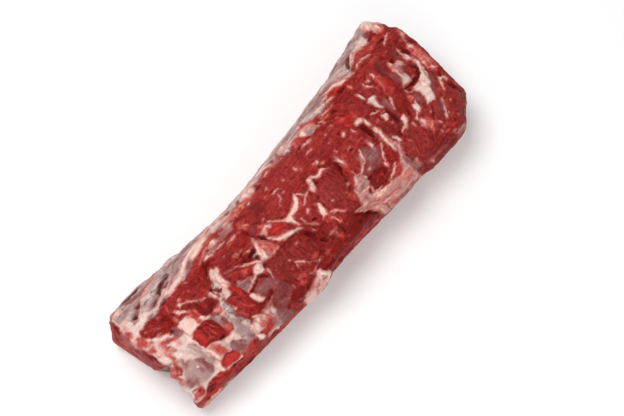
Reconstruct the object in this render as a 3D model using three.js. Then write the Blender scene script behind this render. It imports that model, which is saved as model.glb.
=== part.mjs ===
// A whole boneless striploin, lying on its fat cap with the bone side up.
// Millimetres. +X runs along the loin from the near cut end to the far one, +Y points to the flank,
// -Y to the chine, +Z up. The origin is on the table, under the middle of the loin.
import * as THREE from 'three';

// Driving sizes
const LENGTH = 458;
const HALF_LENGTH = LENGTH / 2;
const RIM_ROUNDING = 2.2;
const RIM_HALF_HEIGHT = 33;

// The cross-section about its profiles: the strip that rests on the table, as shares of the width,
// and how far the corners lie in from the edges or below the crown and the rim
const CONTACT_FROM = 0.3;
const CONTACT_TO = 0.62;
const CHINE_FOOT = { inset: 7, height: 0.35 };
const CHINE_CORNER_INSET = 0.5;
const CHINE_RIM = { inset: 8, round: 1.5, drop: 6 };
const CROWN = { chineDrop: 3, past: 6, shoulderDrop: 4 };
const FLANK_SLOPE = { rise: 9, bulge: 2, footInset: 3 };
const FLANK_UNDER = { inset: 6, height: 0.6, footInset: 24, footHeight: 3 };

// Profiles along the loin, each a short list of [x, value]
const CHINE_EDGE = [
  [-229, -66], [-146, -72.3], [-70, -77.5], [-47, -81], [-24, -75.8], [15, -76.6], [77, -80.5],
  [97, -81.5], [118, -80.5], [138, -84], [188, -85.5], [211, -78.5], [222, -70], [229, -65],
];
const FLANK_EDGE = [
  [-229, 68.5], [-170, 68.5], [-149, 65], [-108, 59.8], [-67, 55.2], [-26, 54.5], [15, 57.8],
  [56, 61.5], [96, 64], [136, 66.5], [156, 71], [196, 78], [229, 84],
];
const CROWN_HEIGHT = [[-229, 55], [-190, 60], [-140, 65], [-60, 68], [60, 68], [150, 66], [200, 62], [229, 58]];
const CHINE_RIM_HEIGHT = [[-229, 45], [-140, 52], [-60, 57], [60, 59], [150, 58], [200, 54], [229, 48]];
const CHINE_CORNER_HEIGHT = [[-229, 15], [-140, 16], [-60, 20], [0, 24], [229, 25]];
const FLANK_EDGE_HEIGHT = [[-229, 25], [60, 26], [229, 32]];
const SHOULDER = [[-229, 27], [-150, 29], [-60, 31], [0, 36], [100, 43], [160, 48], [229, 54]];

// The two cut ends: where the top rim runs, and how far the face leans in below it, each by y
const NEAR_RIM = [
  [-66, -228.5], [-56, -231], [-27, -227.5], [0, -226.5], [20, -227.5], [40, -225], [50, -222],
  [57, -219], [65, -213.5], [70, -209.5],
];
const NEAR_LEAN = [[-66, 3], [-58, 6], [-48, 13], [-12, 13], [1, 7], [19, 5], [38, 1], [50, -3], [60, -6], [70, -6]];
const FAR_RIM = [
  [-66, 215], [-59, 217.5], [-50, 217.5], [-28, 221.5], [-5, 226.5], [20, 229.7], [37, 230.7],
  [46, 228], [60, 226.5], [69, 224], [76, 218], [84, 214],
];
const FAR_LEAN = 3;
const FAR_BULGE = 5;
const LEAN_CURVE = 1.2;
const END_BLEND = 75;
const NOTCH = { topY: -22, footY: -9, halfWidth: 5, depth: 7 };

// Muscle blocks and fat mounds that stand proud of the bone side: centre, half sizes, turn, rise
const EYE_BLOCKS = [
  { x: -203, y: 10, along: 19, across: 13, turn: -12, rise: 4 },
  { x: -172, y: 17, along: 12, across: 8, turn: 0, rise: 3 },
  { x: -148, y: 11, along: 24, across: 15, turn: -10, rise: 4.5 },
  { x: -92, y: 7, along: 31, across: 16, turn: -4, rise: 5 },
  { x: -30, y: 10, along: 36, across: 20, turn: 4, rise: 4 },
  { x: 30, y: 15, along: 46, across: 19, turn: 3, rise: 3.5 },
  { x: 84, y: 17, along: 34, across: 15, turn: 4, rise: 3 },
  { x: 122, y: 9, along: 15, across: 17, turn: 0, rise: 3.5 },
  { x: 143, y: 14, along: 9, across: 11, turn: 0, rise: 3.5 },
  { x: 176, y: 36, along: 46, across: 12, turn: 4, rise: 3.5 },
];
const FINGER_BLOCKS = [
  { x: -208, y: -12, along: 14, across: 12, turn: -30, rise: 2.5 },
  { x: -182, y: -10, along: 11, across: 10, turn: 0, rise: 5 },
  { x: -152, y: -9, along: 10, across: 9, turn: 20, rise: 3.5 },
  { x: -176, y: -32, along: 14, across: 12, turn: -20, rise: 5 },
  { x: -147, y: -38, along: 6, across: 26, turn: -12, rise: 2.5 },
  { x: -119, y: -4, along: 5, across: 15, turn: 8, rise: 3.5 },
  { x: -108, y: -14, along: 17, across: 9, turn: -50, rise: 4.5 },
  { x: -129, y: -42, along: 9, across: 17, turn: 12, rise: 4.5 },
  { x: -68, y: -14, along: 6, across: 12, turn: -15, rise: 4 },
  { x: -44, y: -13, along: 13, across: 9, turn: -10, rise: 3.5 },
  { x: -56, y: -48, along: 31, across: 19, turn: -6, rise: 5 },
  { x: -13, y: -38, along: 9, across: 17, turn: 8, rise: 3.5 },
  { x: 25, y: -35, along: 24, across: 23, turn: -14, rise: 5 },
  { x: 57, y: -20, along: 5, across: 14, turn: -8, rise: 3.5 },
  { x: 98, y: -47, along: 7, across: 15, turn: -32, rise: 4 },
  { x: 123, y: -30, along: 13, across: 15, turn: -6, rise: 4 },
  { x: 153, y: -20, along: 8, across: 16, turn: -32, rise: 3.5 },
  { x: 161, y: 5, along: 8, across: 21, turn: -8, rise: 4.5 },
  { x: 183, y: 4, along: 9, across: 14, turn: -15, rise: 2.5 },
  { x: 187, y: -30, along: 9, across: 20, turn: -38, rise: 2.5 },
];
const CHINE_BLOCKS = [
  { x: -212, y: -45, along: 16, across: 15, turn: 0, rise: 2.5 },
  { x: -183, y: -66, along: 11, across: 5, turn: 0, rise: 3 },
  { x: -133, y: -65, along: 11, across: 8, turn: 12, rise: 3 },
  { x: -99, y: -61, along: 17, across: 12, turn: 20, rise: 3.5 },
  { x: -98, y: -77, along: 7, across: 7, turn: 0, rise: 3 },
  { x: -60, y: -72, along: 13, across: 6, turn: 18, rise: 3 },
  { x: -8, y: -72, along: 38, across: 12, turn: 0, rise: 3.5 },
  { x: 47, y: -48, along: 13, across: 9, turn: 30, rise: 3 },
  { x: 72, y: -77, along: 32, across: 9, turn: 4, rise: 3 },
  { x: 136, y: -67, along: 29, across: 19, turn: 4, rise: 4.5 },
  { x: 173, y: -52, along: 17, across: 9, turn: 42, rise: 3.5 },
  { x: 193, y: -60, along: 19, across: 12, turn: 36, rise: 4 },
];
// Folds of the membrane that covers the flank slope: ridges drawn by their two ends
const MEMBRANE_FOLDS = [
  { from: [-200, 33], to: [-176, 48], halfWidth: 6, rise: 3 },
  { from: [-176, 48], to: [-124, 56], halfWidth: 6, rise: 3 },
  { from: [-186, 28], to: [-150, 40], halfWidth: 5, rise: 2.5 },
  { from: [-150, 40], to: [-96, 48], halfWidth: 6, rise: 2.5 },
  { from: [-86, 46], to: [-30, 44], halfWidth: 6, rise: 2 },
  { from: [56, 46], to: [78, 40], halfWidth: 7, rise: 3 },
  { from: [80, 57], to: [128, 60], halfWidth: 6, rise: 2.5 },
  { from: [166, 57], to: [196, 60], halfWidth: 6, rise: 3 },
];
// Creases, slits and torn hollows, drawn the same way and cut in
const FURROWS = [
  { from: [-217, 12], to: [-204, 1], halfWidth: 6, depth: 3 },
  { from: [-204, 1], to: [-190, -5], halfWidth: 7, depth: 4 },
  { from: [-184, 21], to: [-183, 2], halfWidth: 5, depth: 3 },
  { from: [-194, -22], to: [-190, -38], halfWidth: 6, depth: 3 },
  { from: [-160, -22], to: [-158, -44], halfWidth: 6, depth: 3 },
  { from: [-164, -57], to: [-154, -64], halfWidth: 9, depth: 3 },
  { from: [-134, -10], to: [-128, 3], halfWidth: 6, depth: 6 },
  { from: [-128, 3], to: [-118, 20], halfWidth: 6, depth: 5.5 },
  { from: [-113, -24], to: [-98, -27], halfWidth: 6, depth: 4 },
  { from: [-114, -50], to: [-98, -50], halfWidth: 6, depth: 4 },
  { from: [-86, -8], to: [-78, -20], halfWidth: 7, depth: 6 },
  { from: [-65, 8], to: [-60, -8], halfWidth: 6, depth: 4.5 },
  { from: [-29, -36], to: [-24, -50], halfWidth: 6, depth: 4.5 },
  { from: [24, -8], to: [11, -24], halfWidth: 6, depth: 3.5 },
  { from: [55, -8], to: [46, -28], halfWidth: 6, depth: 5 },
  { from: [70, -30], to: [92, -28], halfWidth: 11, depth: 3 },
  { from: [66, -52], to: [84, -54], halfWidth: 9, depth: 5 },
  { from: [106, -2], to: [104, -26], halfWidth: 7, depth: 6 },
  { from: [107, -56], to: [108, -76], halfWidth: 6, depth: 4.5 },
  { from: [134, 4], to: [136, -12], halfWidth: 6, depth: 3.5 },
  { from: [131, -16], to: [137, -36], halfWidth: 6, depth: 3.5 },
  { from: [168, -14], to: [186, -16], halfWidth: 6, depth: 4 },
  { from: [186, -16], to: [199, -3], halfWidth: 6, depth: 4 },
  { from: [203, 10], to: [207, 28], halfWidth: 6, depth: 3 },
  { from: [156, 52], to: [171, 64], halfWidth: 6, depth: 4.5 },
  { from: [-168, 42], to: [-140, 52], halfWidth: 6, depth: 4.5 },
  { from: [-206, 42], to: [-198, 43], halfWidth: 7, depth: 5 },
  { from: [102, 30], to: [128, 40], halfWidth: 6, depth: 3 },
  { from: [198, 45], to: [209, 45], halfWidth: 6, depth: 3.5 },
];
// Long creases low on the chine side, each between two x at one height
const CHINE_CREASES = [
  { from: -226, to: -150, z: 32, halfWidth: 8, depth: 3.5 },
  { from: -44, to: 34, z: 34, halfWidth: 8, depth: 2.5 },
  { from: 108, to: 168, z: 34, halfWidth: 8, depth: 3.5 },
];

// Where relief fades: a block is level up to one share of its half size and gone at the other, a line
// is gone at this multiple of its half width, and a long crease fades over this length at its ends
const BLOCK_CROWN = 0.45;
const BLOCK_FOOT = 1.2;
const LINE_REACH = 1.7;
const CREASE_END = 14;

// Even stretch of stations along the loin, with the last few close together for the cut rims
const RIM_STEPS = [0, 2, 5.5, 10.5];
const STATION_STEP = 5.6;
const CAP_RINGS = 5;

const clamp01 = (value) => Math.min(Math.max(value, 0), 1);
const smooth = (value) => {
  const t = clamp01(value);
  return t * t * (3 - 2 * t);
};

// The value of a profile at one place, on a smooth curve through its points
function along(profile, at) {
  const last = profile.length - 1;
  if (at <= profile[0][0]) return profile[0][1];
  if (at >= profile[last][0]) return profile[last][1];
  let i = 0;
  while (at > profile[i + 1][0]) i += 1;
  const slope = (a, b) => (profile[b][1] - profile[a][1]) / (profile[b][0] - profile[a][0]);
  const span = profile[i + 1][0] - profile[i][0];
  const startSlope = slope(Math.max(i - 1, 0), i + 1) * span;
  const endSlope = slope(i, Math.min(i + 2, last)) * span;
  const start = profile[i][1];
  const end = profile[i + 1][1];
  const t = (at - profile[i][0]) / span;
  const bend = 3 * (end - start) - 2 * startSlope - endSlope;
  const twist = 2 * (start - end) + startSlope + endSlope;
  return start + t * (startSlope + t * (bend + t * twist));
}

// The corners of one cross-section, from the table up the chine side, over the top and down the
// flank, each with the number of steps that the skin takes to the next
function sectionCorners(x) {
  const chine = along(CHINE_EDGE, x);
  const flank = along(FLANK_EDGE, x);
  const width = flank - chine;
  const crown = along(CROWN_HEIGHT, x);
  const rim = along(CHINE_RIM_HEIGHT, x);
  const corner = along(CHINE_CORNER_HEIGHT, x);
  const edge = along(FLANK_EDGE_HEIGHT, x);
  const shoulder = along(SHOULDER, x);
  const shoulderHeight = crown - CROWN.shoulderDrop;
  const slopeFoot = edge + FLANK_SLOPE.rise;
  const slopeY = (shoulder + flank) / 2 + FLANK_SLOPE.bulge / 2;
  const slopeZ = (shoulderHeight + slopeFoot) / 2 + FLANK_SLOPE.bulge;
  const middle = (chine + shoulder) / 2;
  return [
    { y: chine + CONTACT_FROM * width, z: 0, steps: 4 },
    { y: chine + CHINE_FOOT.inset, z: CHINE_FOOT.height * corner, steps: 3 },
    { y: chine + CHINE_CORNER_INSET, z: corner, steps: 3 },
    { y: chine, z: (corner + rim) / 2, steps: 3 },
    { y: chine + CHINE_RIM.round, z: rim - CHINE_RIM.drop, steps: 2 },
    { y: chine + CHINE_RIM.inset, z: rim, steps: 7 },
    { y: (chine + middle) / 2, z: crown - CROWN.chineDrop, steps: 7 },
    { y: middle + CROWN.past, z: crown, steps: 8 },
    { y: shoulder, z: shoulderHeight, steps: 4 },
    { y: slopeY, z: slopeZ, steps: 4 },
    { y: flank - FLANK_SLOPE.footInset, z: slopeFoot, steps: 2 },
    { y: flank, z: edge, steps: 2 },
    { y: flank - FLANK_UNDER.inset, z: FLANK_UNDER.height * edge, steps: 3 },
    { y: flank - FLANK_UNDER.footInset, z: FLANK_UNDER.footHeight, steps: 2 },
    { y: chine + CONTACT_TO * width, z: 0, steps: 3 },
    { y: chine + (CONTACT_FROM + CONTACT_TO) / 2 * width, z: 0, steps: 3 },
  ];
}

function sectionRing(x) {
  const corners = sectionCorners(x);
  const curve = new THREE.CatmullRomCurve3(corners.map(({ y, z }) => new THREE.Vector3(0, y, z)), true);
  const ring = [];
  corners.forEach(({ steps }, i) => {
    for (let j = 0; j < steps; j += 1) {
      const point = curve.getPoint((i + j / steps) / corners.length);
      ring.push({ y: point.y, z: Math.max(point.z, 0) });
    }
  });
  return ring;
}

function shrinkRing(ring, keep) {
  const ys = ring.map((point) => point.y);
  const zs = ring.map((point) => point.z);
  const middleY = (Math.min(...ys) + Math.max(...ys)) / 2;
  const middleZ = (Math.min(...zs) + Math.max(...zs)) / 2;
  return ring.map(({ y, z }) => ({ y: middleY + (y - middleY) * keep, z: middleZ + (z - middleZ) * keep }));
}

// How far a point of the near or far end lies inside the loin's full length
function nearSetback(y, z) {
  const below = 1 - clamp01(z / along(CROWN_HEIGHT, -HALF_LENGTH));
  const notchY = THREE.MathUtils.lerp(NOTCH.topY, NOTCH.footY, below);
  const notch = NOTCH.depth * Math.exp(-(((y - notchY) / NOTCH.halfWidth) ** 2));
  return along(NEAR_RIM, y) + HALF_LENGTH + along(NEAR_LEAN, y) * below ** LEAN_CURVE + notch;
}

function farSetback(y, z) {
  const up = clamp01(z / along(CROWN_HEIGHT, HALF_LENGTH));
  return HALF_LENGTH - along(FAR_RIM, y) + FAR_LEAN * (1 - up) - FAR_BULGE * Math.sin(Math.PI * up);
}

function place(x, { y, z }) {
  const nearShare = 1 - smooth((x + HALF_LENGTH) / END_BLEND);
  const farShare = 1 - smooth((HALF_LENGTH - x) / END_BLEND);
  return new THREE.Vector3(x + nearSetback(y, z) * nearShare - farSetback(y, z) * farShare, y, z);
}

// Heights of the relief, each from the distance to a block or to a line
function blockHeight({ x, y, along: halfLength, across, turn, rise }, px, py) {
  const angle = THREE.MathUtils.degToRad(turn);
  const dx = (px - x) * Math.cos(angle) + (py - y) * Math.sin(angle);
  const dy = (py - y) * Math.cos(angle) - (px - x) * Math.sin(angle);
  const reach = Math.hypot(dx / halfLength, dy / across);
  return rise * (1 - smooth((reach - BLOCK_CROWN) / (BLOCK_FOOT - BLOCK_CROWN)));
}

function lineHeight({ from, to, halfWidth }, px, py) {
  const [dx, dy] = [to[0] - from[0], to[1] - from[1]];
  const t = clamp01(((px - from[0]) * dx + (py - from[1]) * dy) / (dx * dx + dy * dy));
  const distance = Math.hypot(px - from[0] - t * dx, py - from[1] - t * dy);
  return 1 - smooth(distance / (LINE_REACH * halfWidth));
}

function creaseHeight({ from, to, z, halfWidth }, px, pz) {
  const ends = smooth((px - from) / CREASE_END) * smooth((to - px) / CREASE_END);
  return ends * (1 - smooth(Math.abs(pz - z) / (LINE_REACH * halfWidth)));
}

function topRelief(x, y) {
  let height = 0;
  for (const block of [...EYE_BLOCKS, ...FINGER_BLOCKS, ...CHINE_BLOCKS]) {
    height = Math.max(height, blockHeight(block, x, y));
  }
  for (const fold of MEMBRANE_FOLDS) height = Math.max(height, fold.rise * lineHeight(fold, x, y));
  for (const furrow of FURROWS) height -= furrow.depth * lineHeight(furrow, x, y);
  return height;
}

function chineRelief(x, z) {
  let height = 0;
  for (const crease of CHINE_CREASES) height -= crease.depth * creaseHeight(crease, x, z);
  return height;
}

// Gentle unevenness of soft meat, from a few crossing waves
function unevenness(x, y, z) {
  const long = Math.sin(x / 19 + 1.3 * Math.sin(y / 23)) * Math.sin(y / 14 + z / 17 + 0.8);
  const short = Math.sin(x / 8.3 + y / 11 + 2) * Math.sin(y / 7.1 - z / 9);
  return 0.8 * long + 0.45 * short;
}

// Full on the top, the slopes and the sides, and gone where the fat cap meets the table
function reliefAt({ x, y, z }, normal) {
  const aboveTable = smooth((z - 5) / 14);
  const facingUp = smooth(normal.z / 0.6);
  const facingChine = smooth(-normal.y / 0.7);
  const facingAlong = smooth(Math.abs(normal.x) / 0.7);
  const sides = facingUp * topRelief(x, y) + facingChine * (1 - facingUp) * chineRelief(x, z);
  return aboveTable * (1 - facingAlong) * sides + aboveTable * unevenness(x, y, z);
}

function stations() {
  const inner = HALF_LENGTH - RIM_STEPS[RIM_STEPS.length - 1];
  const count = Math.round((2 * inner) / STATION_STEP);
  const middle = Array.from({ length: count - 1 }, (_, i) => -inner + ((i + 1) * 2 * inner) / count);
  const near = RIM_STEPS.map((step) => -HALF_LENGTH + step);
  const far = RIM_STEPS.map((step) => HALF_LENGTH - step).reverse();
  return [...near, ...middle, ...far];
}

function rimKeep(x) {
  const depth = HALF_LENGTH - Math.abs(x);
  const inset = RIM_ROUNDING * (1 - smooth(depth / RIM_STEPS[RIM_STEPS.length - 1])) ** 2;
  return 1 - inset / RIM_HALF_HEIGHT;
}

// Rings of points from the centre of one cut face, along the loin, to the centre of the other
function skinRings() {
  const rings = stations().map((x) => ({ x, ring: shrinkRing(sectionRing(x), rimKeep(x)) }));
  const cap = ({ x, ring }) =>
    Array.from({ length: CAP_RINGS }, (_, i) => ({ x, ring: shrinkRing(ring, 1 - (i + 1) / (CAP_RINGS + 1)) }));
  const first = cap(rings[0]).reverse();
  const final = cap(rings[rings.length - 1]);
  return [...first, ...rings, ...final].map(({ x, ring }) => ring.map((point) => place(x, point)));
}

function centreOf(ring) {
  const sum = ring.reduce((total, point) => total.add(point), new THREE.Vector3());
  return sum.divideScalar(ring.length);
}

// Triangles between the rings and over the two centres, each quad cut along the given diagonal
function skinFaces(ringCount, around, alongFirst) {
  const nearCentre = ringCount * around;
  const farCentre = nearCentre + 1;
  const lastRing = nearCentre - around;
  const faces = [];
  for (let j = 0; j < around; j += 1) {
    const next = (j + 1) % around;
    faces.push(nearCentre, j, next);
    faces.push(farCentre, lastRing + next, lastRing + j);
    for (let i = 0; i < ringCount - 1; i += 1) {
      const [a, b] = [i * around + j, i * around + next];
      const [c, d] = [a + around, b + around];
      if (alongFirst(a, b, c, d)) faces.push(a, d, b, a, c, d);
      else faces.push(a, c, b, b, c, d);
    }
  }
  return faces;
}

// Moves every point out along its normal by the relief there, and returns those heights
function addRelief({ attributes: { position, normal } }) {
  const point = new THREE.Vector3();
  const out = new THREE.Vector3();
  const heights = [];
  for (let i = 0; i < position.count; i += 1) {
    point.fromBufferAttribute(position, i);
    out.fromBufferAttribute(normal, i);
    heights.push(reliefAt(point, out));
    point.addScaledVector(out, heights[i]);
    position.setXYZ(i, point.x, point.y, Math.max(point.z, 0));
  }
  return heights;
}

// Stands the loin on the table with the middle of its box over the origin
function centre(geometry) {
  geometry.computeBoundingBox();
  const { min, max } = geometry.boundingBox;
  geometry.translate(-(min.x + max.x) / 2, -(min.y + max.y) / 2, -min.z);
}

// The smooth skin first, then its relief, with each quad cut along the diagonal that follows a crease
function skinGeometry() {
  const rings = skinRings();
  const around = rings[0].length;
  const points = [...rings.flat(), centreOf(rings[0]), centreOf(rings[rings.length - 1])];
  const geometry = new THREE.BufferGeometry().setFromPoints(points);
  geometry.setIndex(skinFaces(rings.length, around, () => true));
  geometry.computeVertexNormals();
  const heights = addRelief(geometry);
  const step = (p, q) => Math.abs(heights[p] - heights[q]);
  geometry.setIndex(skinFaces(rings.length, around, (a, b, c, d) => step(a, d) <= step(b, c)));
  centre(geometry);
  geometry.computeVertexNormals();
  return geometry;
}

function striploin() {
  const meat = new THREE.MeshStandardMaterial({ color: 0x8c2a2b, roughness: 0.42, metalness: 0 });
  const mesh = new THREE.Mesh(skinGeometry(), meat);
  mesh.name = 'striploin';
  return mesh;
}

const model = new THREE.Group();
model.add(striploin());

export default model;
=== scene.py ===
# The looks of a whole boneless striploin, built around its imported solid.
# The solid is replaced by one fine skin of the same form, which carries the tissues that show on it:
# muscle blocks, fat seams, membrane and slits. Sizes are in millimetres, and MM turns them into metres.
import functools
import itertools
import math

import bpy
import numpy as np
from mathutils import Matrix, Vector


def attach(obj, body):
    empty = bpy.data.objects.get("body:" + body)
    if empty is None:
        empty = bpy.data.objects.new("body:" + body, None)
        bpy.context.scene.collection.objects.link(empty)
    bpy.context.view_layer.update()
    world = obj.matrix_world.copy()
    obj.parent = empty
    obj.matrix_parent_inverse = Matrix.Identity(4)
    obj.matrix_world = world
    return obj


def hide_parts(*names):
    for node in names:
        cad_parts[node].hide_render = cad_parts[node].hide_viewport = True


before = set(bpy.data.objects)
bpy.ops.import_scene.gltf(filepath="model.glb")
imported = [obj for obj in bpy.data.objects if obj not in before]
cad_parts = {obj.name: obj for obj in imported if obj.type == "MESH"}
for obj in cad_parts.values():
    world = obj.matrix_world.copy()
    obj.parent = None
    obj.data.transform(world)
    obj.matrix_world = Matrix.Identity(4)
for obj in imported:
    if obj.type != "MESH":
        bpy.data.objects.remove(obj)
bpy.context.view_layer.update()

MM = 0.001

# The camera of the photograph: how it stands round the loin, what it looks at, and its lens
AZIMUTH, ELEVATION, DISTANCE = -51.3, 63.0, 1850.0
TARGET = (-1.5, 2.4, 35.0)
IMAGE_WIDTH, IMAGE_HEIGHT = 624, 416
TARGET_PIXEL = (293.9, 205.13)
PIXELS_PER_MM = 0.96
SENSOR_WIDTH = 36.0

# The level plan that the tissues are drawn on, where the camera's rays meet it. From its middle u runs
# along the loin, to the far end, and v across it, to the flank.
PLAN_LEVEL = 62.0
PLAN_OFFSET = (1.5, -2.4)


def camera_axes():
    """The directions right, up and back of the camera."""
    azimuth, elevation = math.radians(AZIMUTH), math.radians(ELEVATION)
    back = np.array([
        math.sin(azimuth) * math.cos(elevation),
        -math.cos(azimuth) * math.cos(elevation),
        math.sin(elevation),
    ])
    right = np.array([math.cos(azimuth), math.sin(azimuth), 0.0])
    return right, np.cross(back, right), back


CAMERA_PLACE = np.array(TARGET) + camera_axes()[2] * DISTANCE


# The tissues as drawn on the plan, each table from the near end to the far one. A line is (radius, point,
# point, ...), a patch is a closed outline, and a spot is (u, v, half length, half width, turn in
# degrees), where a turn of 0 is left out.

# Three islands of muscle that stand out of the pale tissue round them
NEAR_ISLAND = [
    (-188.5, -23), (-182, -20), (-177.4, -18.5), (-169.7, -18.5), (-163.5, -20.8), (-161.2, -27.7),
    (-160.5, -35.4), (-163.5, -42.3), (-168.2, -46.5), (-172, -45.4), (-176.6, -42.3), (-182, -40),
    (-185.8, -38.5), (-188.5, -33),
]
MIDDLE_ISLAND = [
    (-136.5, -23), (-131, -22.5), (-126, -24), (-122, -24), (-118, -22), (-117, -30), (-118, -40),
    (-117, -50), (-120, -55), (-124, -59), (-128, -58.5), (-131, -56), (-133, -50), (-133, -40),
    (-134.5, -32), (-137, -27),
]
CHINE_ISLAND = [
    (-102.6, -72.8), (-92, -72.6), (-91.8, -85), (-97, -86), (-101, -85),
]

# Silver: the membrane on the flank slope, and the torn film between the finger blocks
SILVER_SPOTS = [
    (-194.6, -8, 3.6, 5), (-190, 23, 7, 1.8), (-157.5, -29, 2.6, 4), (-152, -56, 5, 10),
    (-143, -21, 3, 4, -40), (-137, -17, 3, 6, -40), (-131, -3, 3, 4), (-80, -12, 3, 4, -50),
    (66, 34, 6, 5, -20), (78, -33, 4, 11, 30),
]
SILVER_PATCHES = [
    [(-161, -21), (-154, -21), (-153, -32), (-160, -33)],
    [(-153.5, -21), (-151, -29), (-147, -28), (-141, -19), (-135, -13), (-133, -15), (-137, -22),
        (-138, -36), (-141, -42), (-138, -52), (-138, -60), (-140, -71), (-148, -73), (-158, -71),
        (-158, -62), (-156, -55), (-156, -48), (-153.5, -44), (-152.5, -34)],
    [(-125, -60), (-118, -56), (-112, -60), (-110, -70), (-112, -82), (-122, -84), (-124, -70)],
    [(-226, 60), (-200, 62), (-165, 60), (-110, 52), (-60, 48), (-30, 48), (0, 50), (60, 55), (120, 61),
        (165, 69), (214, 76), (216, 64), (196, 60), (191, 55), (176, 55), (166, 54), (157, 47), (149, 42),
        (138, 42), (126, 46), (108, 47), (103, 38), (92, 36), (75, 38), (62, 38), (40, 37), (20, 39),
        (0, 39), (-20, 38), (-36, 35), (-60, 36), (-74, 31), (-90, 37), (-105, 34), (-118, 31), (-135, 27),
        (-150, 24), (-165, 25), (-182, 25), (-190, 22), (-200, 24), (-222, 22)],
    [(18, 45), (24, 37), (27, 37.5), (31, 33.6), (37, 34), (41, 37.4), (50, 40), (44, 45), (30, 46)],
]

# Pale: broad flat pale tissue
PALE_LINES = [
    (2, (-238, -78), (-224, -79), (-208, -79.6), (-192, -80.4)),
    (2.4, (-212, 25), (-205, 31), (-199, 36), (-195, 39)), (2.2, (-200, 29), (-196, 33)),
    (3, (-205, 28), (-196, 29), (-190, 27)), (1, (-204, 45), (-190, 48), (-176, 51)),
    (1.6, (-190, 25), (-178, 28), (-172, 31)),
    (1.5, (-195, 40), (-184, 45.5), (-172, 48.5), (-160, 51), (-150, 52)),
    (1, (-178, 42), (-170, 44), (-160, 44.5)), (1.7, (-172, 31.5), (-164, 33), (-156, 34.5)),
    (2.4, (-170, 29), (-160, 28.4), (-152, 29)), (1.5, (-154.6, -47), (-156.6, -54), (-157.6, -60)),
    (0.9, (-158, 36.6), (-150, 38.6)), (1.5, (-150, 52), (-136, 50)),
    (3, (-151, 27.6), (-143, 30), (-134, 33.6), (-127, 37)), (1.6, (-122, 37), (-112, 37), (-103, 36)),
    (0.7, (-104, -53), (-111, -61), (-117, -72)), (0.7, (-113, -22), (-104, -24)),
    (1, (-112, -34), (-104, -31), (-96, -29)), (2.4, (-128, 40), (-112, 41), (-95, 41), (-76, 40)),
    (0.9, (-108, -40), (-100, -43), (-94, -42)), (1.5, (-112, 33.4), (-100, 34.4), (-88, 36)),
    (0.7, (-88, 20), (-98, 21), (-108, 22)), (1.4, (-82, -22), (-92, -23), (-96, -29)),
    (2.2, (-112, 43), (-95, 43), (-75, 41), (-60, 41)), (0.8, (-83, -33), (-88, -45)),
    (2.6, (-77.5, -22), (-74, -15), (-70, -8)), (0.8, (-46, 2), (-44, 6), (-41, 6)),
    (2, (-46, 36), (-36, 38), (-26, 41)), (1, (-60, 43), (-30, 42), (0, 43)), (0.8, (-21, -40), (-20, -45)),
    (0.8, (-17, -25), (-18, -32), (-13, -42)), (0.7, (-20, 2), (-15, 6), (-13, 11)),
    (2.4, (-10, 42), (14, 41)), (0.9, (14, -10), (4, -12), (-4, -16)),
    (1.2, (4, 39.4), (12, 38.6), (22, 37)), (1.2, (20, 44), (34, 41)),
    (1.5, (22, 42.4), (30, 41.6), (38, 41)), (1.5, (18, 40.5), (26, 41), (34, 41.5), (42, 41)),
    (0.9, (20, 46), (50, 49)), (0.8, (57, -30), (55, -38)), (0.8, (81, 33), (84, 29), (85, 25)),
    (1.8, (75, 45), (88, 43), (100, 42)), (1, (100, -70), (99, -78), (96, -84)),
    (1.7, (110.6, -43), (110, -51), (105.6, -59), (99.6, -67), (94, -73), (91, -80)),
    (0.9, (100, 50), (120, 53), (140, 56)), (0.9, (143, -43), (141, -50)),
    (1.8, (128, 52), (146, 52), (156, 50)), (1.2, (160, -65), (161, -69)),
    (1.8, (155, -41.5), (161, -36), (168, -29)), (1.7, (158, 49.5), (164, 53), (171, 57)),
    (1.7, (174, -65), (170, -69)), (1.2, (184, -52), (180, -58), (173, -67)),
]
PALE_SPOTS = [
    (-201, -8, 5, 4, -30), (-186, -6, 3, 3), (-148.5, -27.5, 4.4, 2, 35), (-131, -56.6, 3, 2.2),
    (-129, -59.5, 4, 2.4, 20), (-127, -67, 4, 5), (-98, 39, 10, 2), (-97, 29, 6, 2.6, 8),
    (-86, 36.4, 4, 1.8), (-75, -14, 3, 3), (-72, 30, 4, 3, -10), (-72, 30.4, 3, 3.4), (-55, 34, 14, 2.5),
    (-54.5, -5.4, 3.8, 2.8, -30), (-47.5, -3, 4.6, 2.2, -35), (-34.5, 35.5, 5.4, 3), (-34, 36, 4, 3.4, 10),
    (-30, 36, 10, 3, 5), (29, 38, 2.4, 1.8, 20), (30, 42, 5, 2.8), (34.4, 36.8, 3, 2.2), (42, -78, 5, 3),
    (51, -45.5, 4.6, 3.2, 35), (108, 2, 4, 3), (117, -43, 2.4, 4), (118, 48, 20, 1.6), (140, 44, 10, 2, -14),
    (147, -57, 2, 3), (150, -55, 3.4, 4.4, 10), (150, -64, 1.6, 1.4), (154, -60, 1.8, 2.4),
    (206, -4, 2.6, 4),
]
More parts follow.
